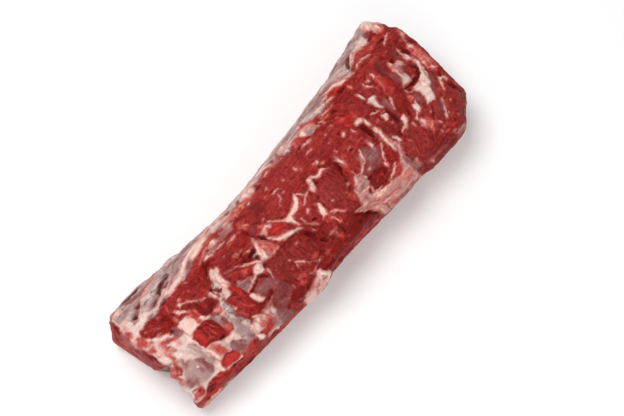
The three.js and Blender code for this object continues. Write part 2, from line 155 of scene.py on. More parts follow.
PALE_PATCHES = [
    [(-224.5, 51), (-217, 52.5), (-209, 52), (-209, 48.5), (-220, 49), (-222, 42), (-213.5, 40.5),
        (-212.5, 33), (-208, 33), (-204, 33.5), (-199, 36), (-199, 26), (-203, 24), (-211, 25), (-217, 21.5),
        (-220.5, 17), (-217, 10), (-212, 4.5), (-203.5, 0), (-199, -4), (-199, -10), (-195, -12.5),
        (-190, -12), (-187, -20), (-187, -40), (-190.3, -43), (-190.3, -58), (-192.3, -64.7),
        (-195.7, -69.7), (-199, -66.7), (-205, -67), (-210.3, -65.5), (-218.3, -67.3), (-223, -71.3),
        (-231, -72.7), (-239, -70), (-239, -60), (-236, -49), (-234, -39), (-232, -31), (-227.3, -26.3),
        (-229.7, -22), (-227.7, -17), (-226.5, -12), (-226.2, -5), (-227.7, -2), (-227.7, 8), (-230.4, 9.7),
        (-230, 19), (-230, 28), (-227.3, 35), (-225.4, 40.5)],
    [(-188, -20), (-176, -17), (-164, -17), (-158, -19), (-159, -22), (-186, -23), (-188, -27)],
    [(-188, -38), (-182, -40), (-176.6, -42.5), (-172, -46), (-166, -47.5), (-161, -47.5), (-156.5, -48),
        (-156.5, -56), (-157, -62), (-161, -60), (-165, -56), (-170, -55), (-174, -60), (-192, -60),
        (-191, -40)],
    [(-138, -59), (-132, -57.5), (-127, -58), (-126, -64), (-127, -69), (-133, -71), (-139, -70),
        (-140, -64)],
    [(-139, -77.5), (-132, -77), (-126, -77.5), (-126, -81), (-133, -82), (-139, -81)],
    [(-142, -60), (-130, -57), (-124, -62), (-122, -70), (-132, -72), (-142, -70)],
    [(-129.2, -6.5), (-125, -8), (-124.2, -15), (-125.8, -20), (-130, -23.5), (-135.8, -24), (-135, -19),
        (-131.7, -15), (-129.2, -11.5)],
    [(-127, 6), (-119, 5), (-118.6, -15), (-122.4, -16.4), (-124, -8), (-126.6, -12), (-128.6, -22),
        (-133, -24), (-133, -8)],
    [(-125, 41.5), (-110, 43.5), (-90, 43), (-75, 40), (-67, 37), (-80, 35), (-95, 37), (-108, 35),
        (-118, 32), (-125, 31)],
    [(-96, -25), (-91, -21.5), (-84, -23), (-80.6, -25), (-83, -29), (-86, -32), (-92, -32), (-96, -30)],
    [(-71, -4), (-66.6, -3), (-66, -9), (-69.4, -19), (-71.6, -26.4), (-81, -25.4), (-79, -19.6),
        (-75, -11.6)],
    [(-90, -88), (-86.9, -83.6), (-83.8, -81.4), (-80.6, -79.5), (-77.5, -78.6), (-75.6, -80.4),
        (-71.9, -80.1), (-67.5, -78.2), (-63.8, -77.3), (-60, -76.2), (-57, -75), (-53.1, -73), (-49.4, -74),
        (-49.1, -79.5), (-46.3, -82), (-45, -84.5), (-48, -88), (-54, -92), (-62, -93), (-75, -92),
        (-90, -91)],
    [(13, -10), (17.4, -6.6), (20, -2), (24.6, -0.6), (24, -7), (20.6, -13.6), (15, -17.6), (12, -14)],
    [(146, -31), (140, -33), (137, -36), (130, -42), (128, -44), (134, -43), (141, -40), (144, -36)],
    [(133, 8), (137, 9), (143, 8.5), (145, 4.5), (141.5, 1.5), (140.5, -3), (139.5, -10), (136.5, -8),
        (134.5, -3), (134, 3)],
    [(160, -31), (165, -32), (166, -38), (162, -41), (156, -44), (155, -40), (157, -35)],
    [(170, 58), (178, 60), (184, 63), (193, 62), (195, 55), (192, 52), (184, 54.5), (172, 54)],
    [(181, 17), (185.6, 20.6), (187, 14), (195, 14), (196.4, 6), (190.6, 5), (188, 1), (187, -9), (184, -13),
        (172, -11.4), (176, -5), (180, 1), (180, 10)],
    [(169.4, -19.4), (176.7, -20.5), (186.7, -19.4), (196.7, -15), (200, -9.4), (203.3, -1.7), (208.3, -0.5),
        (208.9, -5), (203.3, -13.9), (198.9, -19.4), (196.7, -28.3), (188.9, -36), (182.2, -46),
        (172.2, -46), (176.7, -33.9), (178.9, -28.3), (175.6, -22.8)],
    [(199, 70), (211, 74), (219, 64), (221, 56), (217, 50), (212, 49), (207, 52), (207, 60), (201, 62)],
]

# Tan: the broad fan low on the chine side, and other thin tan tissue
TAN_LINES = [
    (0.7, (-239.6, 18), (-238.4, 2), (-237, -10)), (1, (-234.6, 42), (-237.4, 30), (-237.8, 18)),
    (1.1, (-232.4, -13), (-235.6, -18)), (0.9, (-230.6, 39), (-233.3, 18), (-237, -7)),
    (1.5, (-231.8, 30), (-233.6, 16), (-235.4, 2)), (0.9, (-231.3, -9), (-235.4, -17)),
    (1.1, (-228.4, 34), (-230.8, 24), (-231.8, 12)), (0.8, (-228, 36), (-230.9, 16), (-231.6, 8)),
    (1.4, (-117, -57.5), (-110, -57), (-104, -55.5)), (0.9, (-116, -1.5), (-104, -6), (-96, -11)),
    (2, (-97, -10), (-89, -16), (-83, -21)), (1, (-60.8, -68.5), (-58.6, -72.6)),
    (1.7, (-66, 34), (-56, 33), (-46, 35)), (1.3, (-42.5, -67), (-48, -67.5), (-53, -70.3), (-58, -72.6)),
    (1.1, (-47.5, -63.5), (-46, -67)), (2.6, (-57, -10), (-50, -19), (-40, -24), (-30, -29)),
    (3, (-57, -9), (-50, -18.5), (-40, -24), (-29, -29.5)), (1.6, (8, 38.6), (16, 38), (24, 36)),
    (2, (60, -40), (70, -35), (80, -24)),
]
TAN_SPOTS = [
    (-230, -33, 3, 5), (-229, -46, 4, 4), (-211, -14, 3.2, 6, 10), (-207, 4, 5, 3, -30), (-206, -6, 4, 3),
    (-183.6, 2.4, 2.4, 3.4, -15), (-149.5, -21.5, 5, 3.4, -20), (-133, -66, 4, 4), (-133, -62, 4, 3, 20),
    (-128, -80, 12, 3, -4), (-120.5, -62, 5, 5), (-69, -1, 3, 4), (-60, 33, 20, 3, -3),
    (-9.5, -58.4, 6, 1.8, 3), (64, 44, 4.5, 3), (128, 47, 16, 3, -6), (163, -85, 2.6, 1.8, 10),
    (186, 64, 6, 2, 8), (186, 8, 4.4, 9), (219, 20, 1.6, 8, -6),
]
TAN_PATCHES = [
    [(-161, -33), (-156, -32), (-153.5, -36), (-153.8, -43), (-156, -47), (-160, -46.5), (-162, -42),
        (-161.5, -37)],
    [(-116, 22), (-100, 24), (-88, 22), (-70, 25), (-64, 28.5), (-70, 31.5), (-84, 31), (-100, 27),
        (-112, 24)],
    [(-67, -4), (-62, -4), (-60, -12), (-58, -21), (-62, -25.6), (-72, -26), (-70, -19), (-66, -9)],
    [(55, -37), (48.6, -42), (40.7, -46.4), (38.2, -51.4), (35.4, -56.4), (33.6, -61.4), (29, -63.5),
        (24.3, -63), (25.4, -67), (28.6, -70.7), (33, -71.5), (35, -75), (38, -80.7), (38, -92), (100, -94),
        (101, -80), (101.4, -75), (102.1, -70.7), (105, -65.7), (106.4, -58), (102.9, -61.4), (98.6, -63.6),
        (95.7, -68.6), (88.6, -71.4), (84.3, -72.9), (80.7, -69.3), (72.9, -70), (60, -70), (54, -65),
        (52.5, -62), (50, -62), (50, -58.6), (52.9, -54.3), (61.4, -53.6), (62.5, -47.9), (60.7, -42.9),
        (57.1, -38.6)],
    [(60, 47), (70, 44), (76, 40), (80, 27), (70, 30), (60, 32), (54, 36), (56, 42)],
    [(70, 38), (75, 35), (78.4, 27), (71, 30)],
    [(106.5, -40), (111, -41), (114.5, -46), (113.5, -52), (109.5, -58), (106, -63), (103, -68), (102, -74),
        (102.5, -80), (99, -86), (90, -87), (84, -82), (82, -77), (88, -73), (93, -69), (97, -64),
        (99.5, -60), (104, -57), (107, -52), (107.6, -46)],
    [(112, -16), (108, -26), (105.5, -38), (106, -46), (106.4, -53), (103, -61), (106, -62), (109.3, -53),
        (112.1, -44.3), (114, -36), (116, -24)],
    [(160, -88), (170, -87), (178, -88), (177, -93), (162, -93)],
    [(199, 13), (203, 16), (207, 14), (208.5, 8), (208, 2), (204, 1), (200, 5)],
    [(209, 8), (214, 10), (219, 10), (222, 4), (221.5, -6), (219, -20), (214, -25), (208, -25), (208.5, -12),
        (210, 0)],
]

# Film: grey film over the pale slab and the fat
FILM_LINES = [
    (1.2, (-206, -22), (-202, -30), (-201, -36)), (1.7, (-202, -30), (-199.5, -38), (-196.6, -46)),
    (2, (-194, -28), (-193.4, -42), (-193.2, -56)), (1, (-190, 30), (-178, 34)),
    (1.4, (-204, 52), (-186, 50), (-166, 49), (-150, 48)), (1.7, (-172.5, -47), (-172.6, -52), (-173, -57)),
    (3, (-149, -34), (-148, -46), (-149, -60)), (0.9, (42, -57), (45, -60), (47, -66)),
    (0.9, (66, -73.5), (76, -74)),
]
FILM_SPOTS = [
    (-213, 44.5, 7, 3), (-195, -8, 4.6, 4.6), (-194.6, -8, 3.8, 5.4), (-187, 33, 6, 3.4, 20),
    (-181, 36.4, 3.2, 3.4, 20), (-163, 47, 9, 1.2, 8), (-158, -33, 2.6, 4), (-151, -52, 5, 8),
    (-150, -66, 6, 6), (-147, -55, 3, 6), (-140, 38, 8, 3, 15), (-134, -16.5, 2.4, 2, 30),
    (-133, 31, 7, 2.6, 12), (-123, -74, 5, 6), (-104, 24, 4, 1), (-104, -42.5, 4.6, 2.4, -15),
    (-101, -43, 8, 4), (-79, 26.4, 5, 1.8), (43, -86, 2, 3), (43.6, -51, 2, 2), (46, -66, 2, 4),
    (49, -52, 5.4, 1.9, -12), (49.5, -50.5, 6, 2.8, 20), (58.5, -45.5, 1.6, 3.5, 30),
    (58.8, -47, 1.8, 3.4, -20), (66, 33, 4, 4), (68, -76, 7, 2), (74.3, -82, 4, 2), (180, 60, 4, 1.6),
    (187, 62, 4, 3, 10),
]
FILM_PATCHES = [
    [(-219, -38), (-213, -34), (-206, -37), (-200, -41), (-197, -48), (-196, -57), (-200, -62), (-210, -63),
        (-219, -61), (-227, -57), (-231, -52), (-229, -47), (-224, -43)],
    [(-199.5, -24), (-196, -24), (-193.6, -32), (-191.6, -42), (-191.4, -54), (-194, -58), (-197.6, -57),
        (-197.4, -48), (-198.6, -36)],
    [(-175.6, -51.5), (-171, -55), (-165, -56), (-160, -59.5), (-156.5, -64), (-156, -71.5), (-162, -74),
        (-168, -73), (-172, -69), (-173.6, -62)],
    [(-118, -21), (-112, -20), (-106, -23.5), (-101, -27), (-103, -30), (-112, -33.4), (-118, -33),
        (-119, -27)],
    [(102, -64), (106, -62), (108.5, -68), (108, -76), (110, -81), (102.5, -81), (101.8, -74)],
]

# Mauve: thin mauve film, on the muscle and along the flank slope
MAUVE_LINES = [
    (1.6, (-237, -76), (-225, -77.2), (-212, -77.5), (-200, -78), (-188, -79)),
    (1, (-210, 47), (-202, 46.5), (-194, 46.5)), (1.8, (-214, -75.4), (-202, -76), (-190, -77.4)),
    (1.5, (-206, 37), (-199, 41), (-190, 43.5)), (1.5, (-203, 41.5), (-192, 42.5)),
    (1.3, (-206, -76.5), (-198, -77), (-188, -78)), (0.8, (-195.7, -23.7), (-193, -29), (-191.7, -36)),
    (0.7, (-191.7, -50), (-191.5, -57)), (0.8, (-192, 37), (-186, 39.4)),
    (2.6, (-206, 54), (-196, 51), (-182, 49), (-170, 50)), (1, (-192, 29), (-182, 33), (-175, 36)),
    (1.3, (-168, 34.5), (-157, 36.5)), (1, (-168, 53), (-150, 53), (-136, 51)),
    (0.9, (-160, 34), (-150, 36), (-140, 37)), (0.8, (-135, -58), (-140, -62)),
    (1, (-148, 41), (-138, 43), (-126, 43.4)), (1.2, (-150, 47), (-128, 46), (-112, 46)),
    (2.2, (-133, 31), (-127, 31.5)), (1.1, (-136, 43), (-120, 44), (-104, 45)),
    (0.8, (-90, 43), (-70, 43), (-50, 42)), (1, (-20, 45), (0, 46)), (0.9, (10, 44), (30, 46), (48, 46)),
    (0.9, (32.9, -67.9), (37, -70.5), (41.4, -73.6), (47, -77)), (0.7, (40, -66), (44, -70), (50, -73)),
    (1.2, (47, -74.5), (53, -76), (60, -77.5)), (0.8, (62, -79), (72, -80), (80, -79)),
    (0.7, (84, -80), (92, -81)), (0.9, (70, 50), (90, 53), (110, 55)), (1.4, (86, 48), (100, 47), (112, 46)),
    (2, (122, 57), (140, 58), (150, 60)), (1.1, (140, 55), (156, 59), (170, 60)),
    (1.3, (169, 60.5), (173, 59), (177, 58.5)), (0.7, (184.6, 12), (184, 4), (183, -4)),
    (0.9, (176, 66), (190, 66), (200, 68)),
]
MAUVE_SPOTS = [
    (-236.6, -71, 1.5, 3.5), (-226.3, -50, 5, 1.6), (-226, -50, 4, 3, 10), (-226, -53, 4.4, 3),
    (-225, -24, 2.7, 1.5, 10), (-221, -55.3, 3, 2), (-215, -31, 1.5, 3.2), (-214, -36, 4, 1.8, 30),
    (-214, -33, 3, 4), (-212, -36.5, 4, 1.5, 20), (-208.5, -47.5, 2, 1.6, 20), (-208, -52, 2.2, 2),
    (-205, 37, 6, 3.2, 10), (-200.6, -50, 3, 7.4), (-196, -6, 3, 2.4), (-195, -7, 4, 4),
    (-182.5, 32, 4.4, 2.2, 25), (-170.5, -21.5, 3.4, 2.6), (-166, -65.5, 5, 4, -30), (-157, -23.8, 2.2, 3.6),
    (-157, -40, 3, 5), (-155.8, -36, 2, 2.2), (-148.5, -31.5, 0.9, 2.2, -20), (-148, -68, 2, 4),
    (-146, -80.5, 6, 3), (-145, -47, 3, 2), (-141, -38, 2.2, 5), (-140.5, -43, 2, 3.6),
    (-136, -44, 2.8, 5, 10), (-135, -47.5, 2.4, 3), (-131, 31.6, 5, 2.2, 12), (-126, -57, 3, 2),
    (-122, 46, 18, 1.6, -2), (-108, -26.4, 5, 2.6, -20), (-100, 44, 12, 1, -2), (-92, 40, 4, 1.5),
    (-86, 26.6, 8, 2.4, 8), (-80, 40, 1.5, 1.2), (-62, 39, 6, 1.2, -4), (-58, 7, 6, 2.5, 10),
    (23.5, 41, 2, 3), (43, -62, 1.6, 2.4), (48, -52, 4, 1.5, 12), (50, 46.5, 12, 1.2, 2), (92, 52, 7, 2, 4),
    (104.6, -70, 1.8, 5), (110, 50, 24, 1.6, 2), (160, 57, 14, 1.8, 8), (173, 64, 5, 1.2, 8),
    (176, 24, 3, 7), (177, -57, 8, 3, 40), (187.4, 4, 2, 3.4), (191, 3, 3, 2.6), (196, 60, 2.6, 6, -10),
    (197, 20, 2.6, 6.5), (202, -21, 2.2, 7, -14),
]
MAUVE_PATCHES = [
    [(-212.5, 32.5), (-211, 38), (-206, 41), (-199.5, 40.5), (-200, 36.5), (-204, 33.8), (-208, 33)],
    [(-212, 33), (-209, 40), (-202, 40), (-199, 36), (-206, 33)],
    [(-206, -39), (-203, -39.5), (-200.5, -44), (-198.5, -50), (-197.8, -57), (-200, -60), (-204, -59),
        (-204.5, -53), (-205, -48), (-206, -43)],
    [(-206, -41), (-201, -42), (-197.6, -46.5), (-197, -54), (-199.6, -60), (-204.6, -62), (-202.6, -56),
        (-202.6, -50), (-204.4, -45)],
    [(-112, -38), (-97, -36), (-91, -41), (-88, -48), (-96, -50), (-108, -50), (-114, -46)],
    [(-110, -60), (-98, -52), (-84, -52.5), (-82, -60), (-82, -66.4), (-89, -67.8), (-97, -72.3),
        (-103.8, -72.6), (-103, -80), (-101, -85), (-102, -92), (-122, -92), (-118, -74), (-112, -66)],
    [(-100, -45), (-94, -38.5), (-90, -42), (-86, -47), (-84, -54), (-92, -56), (-100, -54.5), (-97, -49)],
    [(62, -87), (70, -86.5), (78, -87), (77, -92), (66, -92)],
    [(74, -38), (80, -24), (86, -21), (95, -28), (98, -36), (90, -44), (84, -52), (74, -48), (64, -46),
        (62, -40)],
    [(140, -4), (150, -2), (148, -18), (141, -26)],
    [(170, -24), (176, -25), (177, -31), (173, -38), (167, -40), (165, -35), (167, -28)],
    [(172.4, 10), (178, 10), (180, 5), (179, -4), (174, -8), (171.6, -2)],
    [(201, -14), (205, -20), (204, -28), (199, -31), (194, -35), (188, -44), (184.4, -47), (186.5, -39),
        (192, -31), (197.4, -24)],
]

# Flesh: bare muscle inside the pale tissue
FLESH_PATCHES = [NEAR_ISLAND, MIDDLE_ISLAND, CHINE_ISLAND]

# Wine: soft dark shadows in the muscle
WINE_LINES = [
    (1.4, (-239.7, 33), (-238.8, 19)), (1.1, (-238, 28), (-237, 12), (-236.4, -2)),
    (1, (-235.8, 44), (-236.4, 34)), (0.9, (-235.8, 8), (-235, -10)), (1.2, (-234.7, 12), (-235.2, -6)),
    (1, (-233.6, 24), (-232.8, 6), (-233.4, -12)), (0.9, (-230.4, 44), (-232.4, 34)),
    (1, (-229.4, 22), (-230.2, 14)), (1.4, (-227.3, 48), (-227.4, 39)),
    (1.6, (-201, 41.5), (-196, 41), (-191, 43)), (2.4, (-206, 57), (-195, 56), (-175, 57)),
    (1.3, (-188, 30), (-181, 32), (-175, 33)), (2.3, (-176, 33), (-168, 37), (-160, 40), (-150, 42)),
    (1.6, (-163.5, -23), (-162, -30), (-162.5, -38)), (1.4, (-131, -31), (-129.5, -38)),
    (1.2, (-123, -52), (-120, -44)), (1, (70, 43.4), (78, 40.6), (86, 37)),
    (1.4, (120, -88.5), (140, -89.5), (158, -89)), (2, (184, -84), (196, -76), (206, -66)),
]
WINE_SPOTS = [
    (-230, -15, 2.6, 4, -10), (-217, -71, 5, 3), (-208, -48, 1.3, 1), (-199.6, -50, 1.6, 4), (-172, 0, 4, 3),
    (-160, -43, 1.6, 3), (-156, -14, 9, 4, -20), (-141.6, -42.3, 1.6, 2.4), (-133, -73, 7, 2.4),
    (-131, -25.5, 5, 2.4, -15), (-122, 20, 6, 3, 20), (-108, -64, 5, 8), (-104, -52, 8, 2), (-100, 6, 8, 5),
    (-98, -82, 4, 2.6), (-96, -60, 10, 6, 20), (-92, -58, 9, 6, 10), (-86, -77, 8, 4, 20),
    (-80, -8, 7, 3.5, 10), (-80, -27, 4, 3), (-70, -74, 8, 3, 15), (-58, -6, 3, 3), (-46, -74, 3, 5),
    (-38, 15, 9, 12), (-27, -43, 3, 8, 10), (-20, -56, 5, 4), (-17.4, 34, 4.4, 3.2), (24, -63, 8, 3, -20),
    (28, 35.6, 2.4, 1.6), (44, -33, 4, 3), (51, -16, 3, 10, -10), (92.5, -55, 2, 4, -30), (104, 29, 5, 3),
    (106, -12, 4, 12, 4), (125, 37, 6, 3), (140, -90, 24, 2.5, -2), (152, -22, 5, 8, 10), (175, 22, 4, 10),
    (189.6, 18.4, 4.4, 3.6), (193, -8, 5, 3), (194, 24, 7, 4), (198, -4, 3, 2.6, 30), (200, 54, 4, 5),
    (204, -22, 2.6, 6, 10), (205, -52, 3, 7), (209, -31, 3, 3.4), (209, 15, 3.4, 10, 6),
    (216.7, 33.9, 1.6, 2.4), (217, 46.5, 4, 2.4, -20),
]
WINE_PATCHES = [
    [(-233, 6), (-228.6, 8), (-227.4, -4), (-228, -18), (-233, -20), (-234.6, -12), (-233.6, 0)],
    [(-10, -64), (10, -62), (22, -64), (30, -72), (34, -80), (24, -86), (4, -86), (-6, -78)],
    [(57, -55), (62.9, -49.5), (74, -48.5), (82.9, -51.4), (83.6, -56.4), (86.4, -59.5), (80, -65),
        (71.4, -66.6), (62, -67), (64, -65), (54.3, -65), (53.6, -62)],
    [(205.5, 19), (209, 26), (213, 18), (213, 8), (209, 5), (206, 12)],
]

# Rose: soft pink bloom between the pale tissue and the muscle
ROSE_LINES = [
    (1.6, (-236.6, 40), (-238, 28), (-237.6, 14)), (1.2, (-233, 30), (-234.6, 12), (-236, -6)),
    (1.2, (-212, -2.6), (-207.3, -6.5), (-202, -9.5)), (1.5, (-165.4, 28.3), (-160, 30), (-154, 31.6)),
    (2, (-21, -14), (-8, -14), (2, -8)), (1.6, (18, -6), (26, -4), (38, -8)),
    (1.2, (104.8, -42), (105.4, -50), (101, -58)), (2.4, (161.4, 21), (160, 12), (157, 3)),
]
ROSE_SPOTS = [
    (-237.7, -76.7, 2.4, 2.4), (-229, -34, 4, 6), (-227, -66, 6.4, 6.4), (-225.6, 28, 3.6, 4.6),
    (-224, 11, 4.6, 7, 10), (-223, 13, 4.5, 5.5), (-222.5, -0.5, 4.4, 3.6), (-221, 5, 2.6, 2.4),
    (-219.5, 55.5, 2.4, 2.4), (-216.5, -17, 3, 5), (-214, -8, 4, 7, -10), (-200, -12, 3, 5),
    (-184, -25, 5, 4, 20), (-184, 3, 4, 2.4, 20), (-182.5, -44, 4, 3), (-182, -31, 3, 4),
    (-180, 16, 1.8, 4, 8), (-170, -10, 5, 8), (-164, 30, 10, 1.6, 8), (-157, -42, 4, 5), (-136, -44, 2, 4),
    (-130, -68, 6, 3), (-128, -66, 3, 4), (-118, 28, 14, 3, 14), (-100, -17, 4, 3), (-72, -70, 4, 3),
    (-67, -64.5, 5, 4, -20), (-66, -14, 5, 10, 15), (-66, -80, 7, 2, 22), (-64, 18, 4, 6, 20),
    (-62, -87, 5, 2, 10), (-52, -4, 7, 4, -30), (-46, 33, 18, 3, -3), (-43, -60, 4, 3), (-31, -69, 3, 2.6),
    (-8, -67, 2.4, 3, 20), (0, -45, 5, 2.6), (34.5, -50, 2.4, 5, 10), (47, 34, 9, 3, 10),
    (53.5, -83, 5, 3.4), (56, -22, 4, 8), (64, -80, 5, 2), (72, 41, 8, 3, -20), (88, 36, 6, 2, -20),
    (90, -78, 6, 3), (98, 6, 3, 3), (98, 12, 4, 7), (104, 37, 6, 2), (107, 9, 4, 4), (110, 7, 3, 3),
    (136, 34, 5, 3), (148, -58, 3, 4), (154, -60, 4, 6), (155, -59, 4, 6), (162.5, 20, 2.6, 4),
    (166, -26, 4, 4), (170, -79, 5, 2), (178, 34, 6, 2), (183, 13, 2.6, 6), (189, 46, 6, 2.4),
    (192, 10, 3, 3), (193, -43, 4, 2, 15), (200, 49, 4, 3), (203, 64, 3, 3), (211, 51, 5, 3),
    (212.5, -3, 4.4, 9), (213, 55, 3.4, 4), (214, 60, 4, 4),
]
ROSE_PATCHES = [
    [(-193, -68), (-188.6, -60.2), (-180.5, -59.6), (-172.8, -62), (-170.9, -67), (-172.8, -71.4),
        (-180.5, -71.4), (-187.4, -69.4)],
    [(-187, -42), (-178, -42), (-175.5, -48), (-175.5, -58), (-181, -60.5), (-187, -58.5)],
    [(80, -66.5), (88, -64.5), (94, -62), (98, -61.5), (96, -67), (91, -70.5), (86, -72.5), (83, -69)],
    [(209, 8), (214, 10), (219, 10), (222, 4), (221.5, -6), (219, -20), (214, -25), (208, -25), (208.5, -12),
        (210, 0)],
]

# Pink: thin pink tissue on the muscle and round the fat
PINK_LINES = [
    (0.8, (-239.4, 30), (-238.6, 14)), (0.7, (-238, 8), (-237.6, -8)), (0.8, (-235.4, 22), (-234.6, 8)),
    (0.8, (-234.2, -2), (-234.6, -14)), (0.7, (-231, 26), (-231.2, 16)), (0.7, (-228, 50), (-231, 44)),
    (0.7, (-236, -78), (-224, -79), (-210, -79.4)), (0.8, (-224, -74), (-214, -73.6)),
    (0.9, (-232, -75.8), (-218, -76.4), (-204, -76.6), (-190, -77.6)),
    (0.6, (-218, -75), (-205, -75.6), (-194, -75)), (1.2, (-211, -3), (-205, -8), (-200, -10)),
    (0.9, (-206, -70), (-202, -69), (-199, -70)), (0.8, (-184, 5.5), (-187.6, 2), (-189, -3)),
    (1.1, (-179, 21.5), (-179.6, 16), (-181.6, 11)), (1, (-186, -75.5), (-176, -77.5), (-166, -78)),
    (0.8, (-174.8, -33), (-174, -40)), (0.7, (-176.5, 11), (-172, 11.8), (-168, 10.6)),
    (0.8, (-171, -28), (-170.3, -33), (-171, -39)), (0.6, (-167.5, -26), (-167, -33)),
    (1, (-166, -78.5), (-158, -77), (-151, -75.5)), (0.7, (-133, -34), (-132, -44)),
    (1, (-136, -24), (-131, -26), (-127, -28)), (0.9, (-136, -23.4), (-130.6, -25.6), (-126, -31)),
    (0.8, (-134, -28), (-130, -29), (-126.5, -28.5)), (0.9, (-140, -84), (-118, -85)),
    (0.7, (-130, -33), (-129, -40), (-127.5, -46)), (1.1, (-127.4, -42.3), (-125.5, -46), (-123.5, -50)),
    (0.6, (-125, -31), (-125, -38)), (0.6, (-122.5, -27), (-121, -36)),
    (1.1, (-97, -70.7), (-93, -69.4), (-89, -68)), (0.8, (-91, -79), (-86, -78)),
    (0.9, (-58, 31), (-51, 30)), (1, (-60, 36), (-54, 33.6), (-48, 34)), (1, (-60, 30), (-45, 30)),
    (0.8, (-43.5, -66.6), (-48, -67.4), (-53, -70.1), (-57.5, -72.4)),
    (0.9, (-55, 4), (-48, 0), (-41, -3.4)), (0.8, (-47, 32), (-42, 29.4)),
    (0.8, (-34, -67.5), (-31, -69), (-30.6, -72)), (0.8, (-31, -69), (-29.4, -66.6)),
    (0.7, (-38, -84), (-26, -84.6), (-18, -84)), (0.7, (-16, -26), (-18, -33), (-13, -42)),
    (1.2, (-12, -84.6), (-4, -83.8), (4, -84.2)), (1.4, (3, -44), (3.4, -52), (3.8, -57)),
    (0.9, (2, -1), (10, -1.5), (18, -3)), (1.5, (6, -41), (11, -46), (16, -53)),
    (1.2, (19, -86.4), (26, -85.4), (31, -86)), (1, (41, 34.5), (47, 36), (53, 37)), (1, (40, 42), (56, 41)),
    (1.1, (42, 36), (50, 38), (55, 36)), (1.2, (57, -19), (57.5, -27)), (0.5, (64, -60), (68, -56.6)),
    (0.45, (70, -64), (74, -61)), (0.5, (77, -62), (83, -59.6)), (1.6, (86, 30), (84, 25)),
    (1.2, (84, 39), (92, 35), (100, 33)), (0.9, (88, -14), (97, -15)),
    (1.2, (96, 18), (96.4, 11), (95.6, 5)), (1.3, (96, 33), (108, 33)),
    (1.2, (97, 33.5), (103, 33), (109, 32)), (0.9, (98, 37), (106, 35), (113, 34)),
    (0.8, (112, -86), (130, -87), (150, -89)), (0.7, (134, 23), (135, 16), (134, 9)),
    (1.3, (133.6, 22.6), (135.4, 15), (135, 9)), (1.1, (134.5, 21.6), (141, 21), (147, 19)),
    (0.9, (134.4, 21), (142, 20), (149, 16)), (0.9, (158, 28), (154, 23)),
    (0.8, (152, 24), (156, 26), (160, 28)), (1, (153, -79.4), (158, -79.2), (163, -80)),
    (1.7, (162, 23), (160.6, 14), (158, 5), (153, -2)), (0.9, (161, -30), (167, -22)),
    (0.9, (187, -51), (192, -48.6), (198, -48)), (1.1, (210, -46), (209.6, -58)),
]
PINK_SPOTS = [
    (-232.6, -64, 1.2, 3), (-231, -33, 1.6, 4), (-228, -63, 1.6, 1.2), (-226, -68, 2, 1.3),
    (-223, -32, 1.7, 1.3), (-222.7, -9.5, 1.8, 2.2), (-222.7, 35.8, 2.8, 0.9, 5), (-221.5, -28, 1, 1.5),
    (-218, 55.8, 2, 1.4), (-216.5, -15.5, 1.6, 3), (-212.6, -7, 1.6, 4, -20), (-207.5, 13, 0.8, 1.6, 30),
    (-205.5, 14.5, 0.8, 2.2, 30), (-187, -65.6, 2, 2), (-185, -24.3, 2.6, 1.5, 20), (-182.8, -43.6, 3, 1.6),
    (-180.5, -27.7, 1.3, 2.4, -20), (-165, -9, 3, 5), (-159, 30.2, 4.6, 1.2, 12), (-152, 13.5, 0.9, 1.8, 10),
    (-128, -74, 8, 2, 15), (-124.6, -67, 1.6, 3), (-121, -15.6, 2.2, 3.4), (-100, 33, 9, 1.6, 14),
    (-78, -82, 3, 1, 10), (-71, -81.5, 3, 0.8, 20), (-68, -62.6, 2.8, 1.5, 10), (-66, -16, 3, 6, 10),
    (-64.2, -64.4, 1.6, 2.4, 20), (-60, 17, 3, 4.5, 20), (-60, -22, 8, 2, 20), (-60, 33.4, 4, 1.6),
    (-58, 31, 7, 3), (-52, 3, 6, 2.5, -20), (-52, 32.4, 8, 2.6, -6), (-45, 32, 9, 3), (-43.5, 4.6, 2.6, 2.4),
    (-22, 20, 4, 1.6, 10), (-8, -67.4, 1.4, 2, 20), (-3.4, -73.4, 1.5, 1.2), (0, 38, 10, 1.2, 3),
    (5.5, -56.6, 2.4, 1.4), (8, -46, 3, 2, -20), (10, 39, 8, 1, 2), (24, 36, 4, 2), (33.5, -45.5, 1.2, 2.2),
    (36, -50, 1.4, 2.6, 10), (46, -1, 3, 2.5), (47, 34, 6, 4, 20), (48, -70, 3, 2), (53.5, -83, 3, 2),
    (57, -22, 3, 5, 10), (66, -14, 4, 3), (70, 42, 7, 2, -12), (86.5, -54.3, 3.2, 4.8, 5), (88, 33, 5, 2),
    (89.3, -67, 2.2, 1.3, 20), (94, 30, 6, 2.4), (94.3, -63.6, 2.2, 1.3, 30), (96, 15, 1.6, 3),
    (98, 16, 3, 5), (98, 34, 4, 2, 10), (103, 3, 4, 1.6), (108.6, 9, 2.8, 2.4), (110, 10, 2, 2.4),
    (112, 40.4, 5, 1.8, 5), (130, 43, 9, 3, -12), (136, 33, 3, 3), (151, -67, 3, 1.6),
    (151.4, -76, 0.9, 1.7, 20), (152, -62, 4, 4.6, -20), (164, 18, 2, 4), (164, -74.4, 1.7, 1.5),
    (164.4, -85.4, 1.7, 1.5), (165.5, -26, 3, 2.2, 30), (166, -25, 3, 4), (170.6, -80, 1.6, 1.2),
    (176, 49, 3.6, 0.7, 8), (186, 46, 3.4, 0.8, -6), (190.6, -43.3, 2.8, 1.1, 15), (191, 45.5, 2, 1.1, 20),
    (194, 49, 1.6, 0.9), (194, 30, 1, 1), (196, 46, 1.1, 2.4, -10), (199, 48, 0.9, 1.8), (202, 57, 1.4, 0.9),
    (205, 49, 2, 1), (212, -12, 2.6, 7, 8), (212, 37, 3, 1, 20), (212, 52, 6, 2.6), (214, -4, 4, 10),
    (216, 27, 1, 3),
]
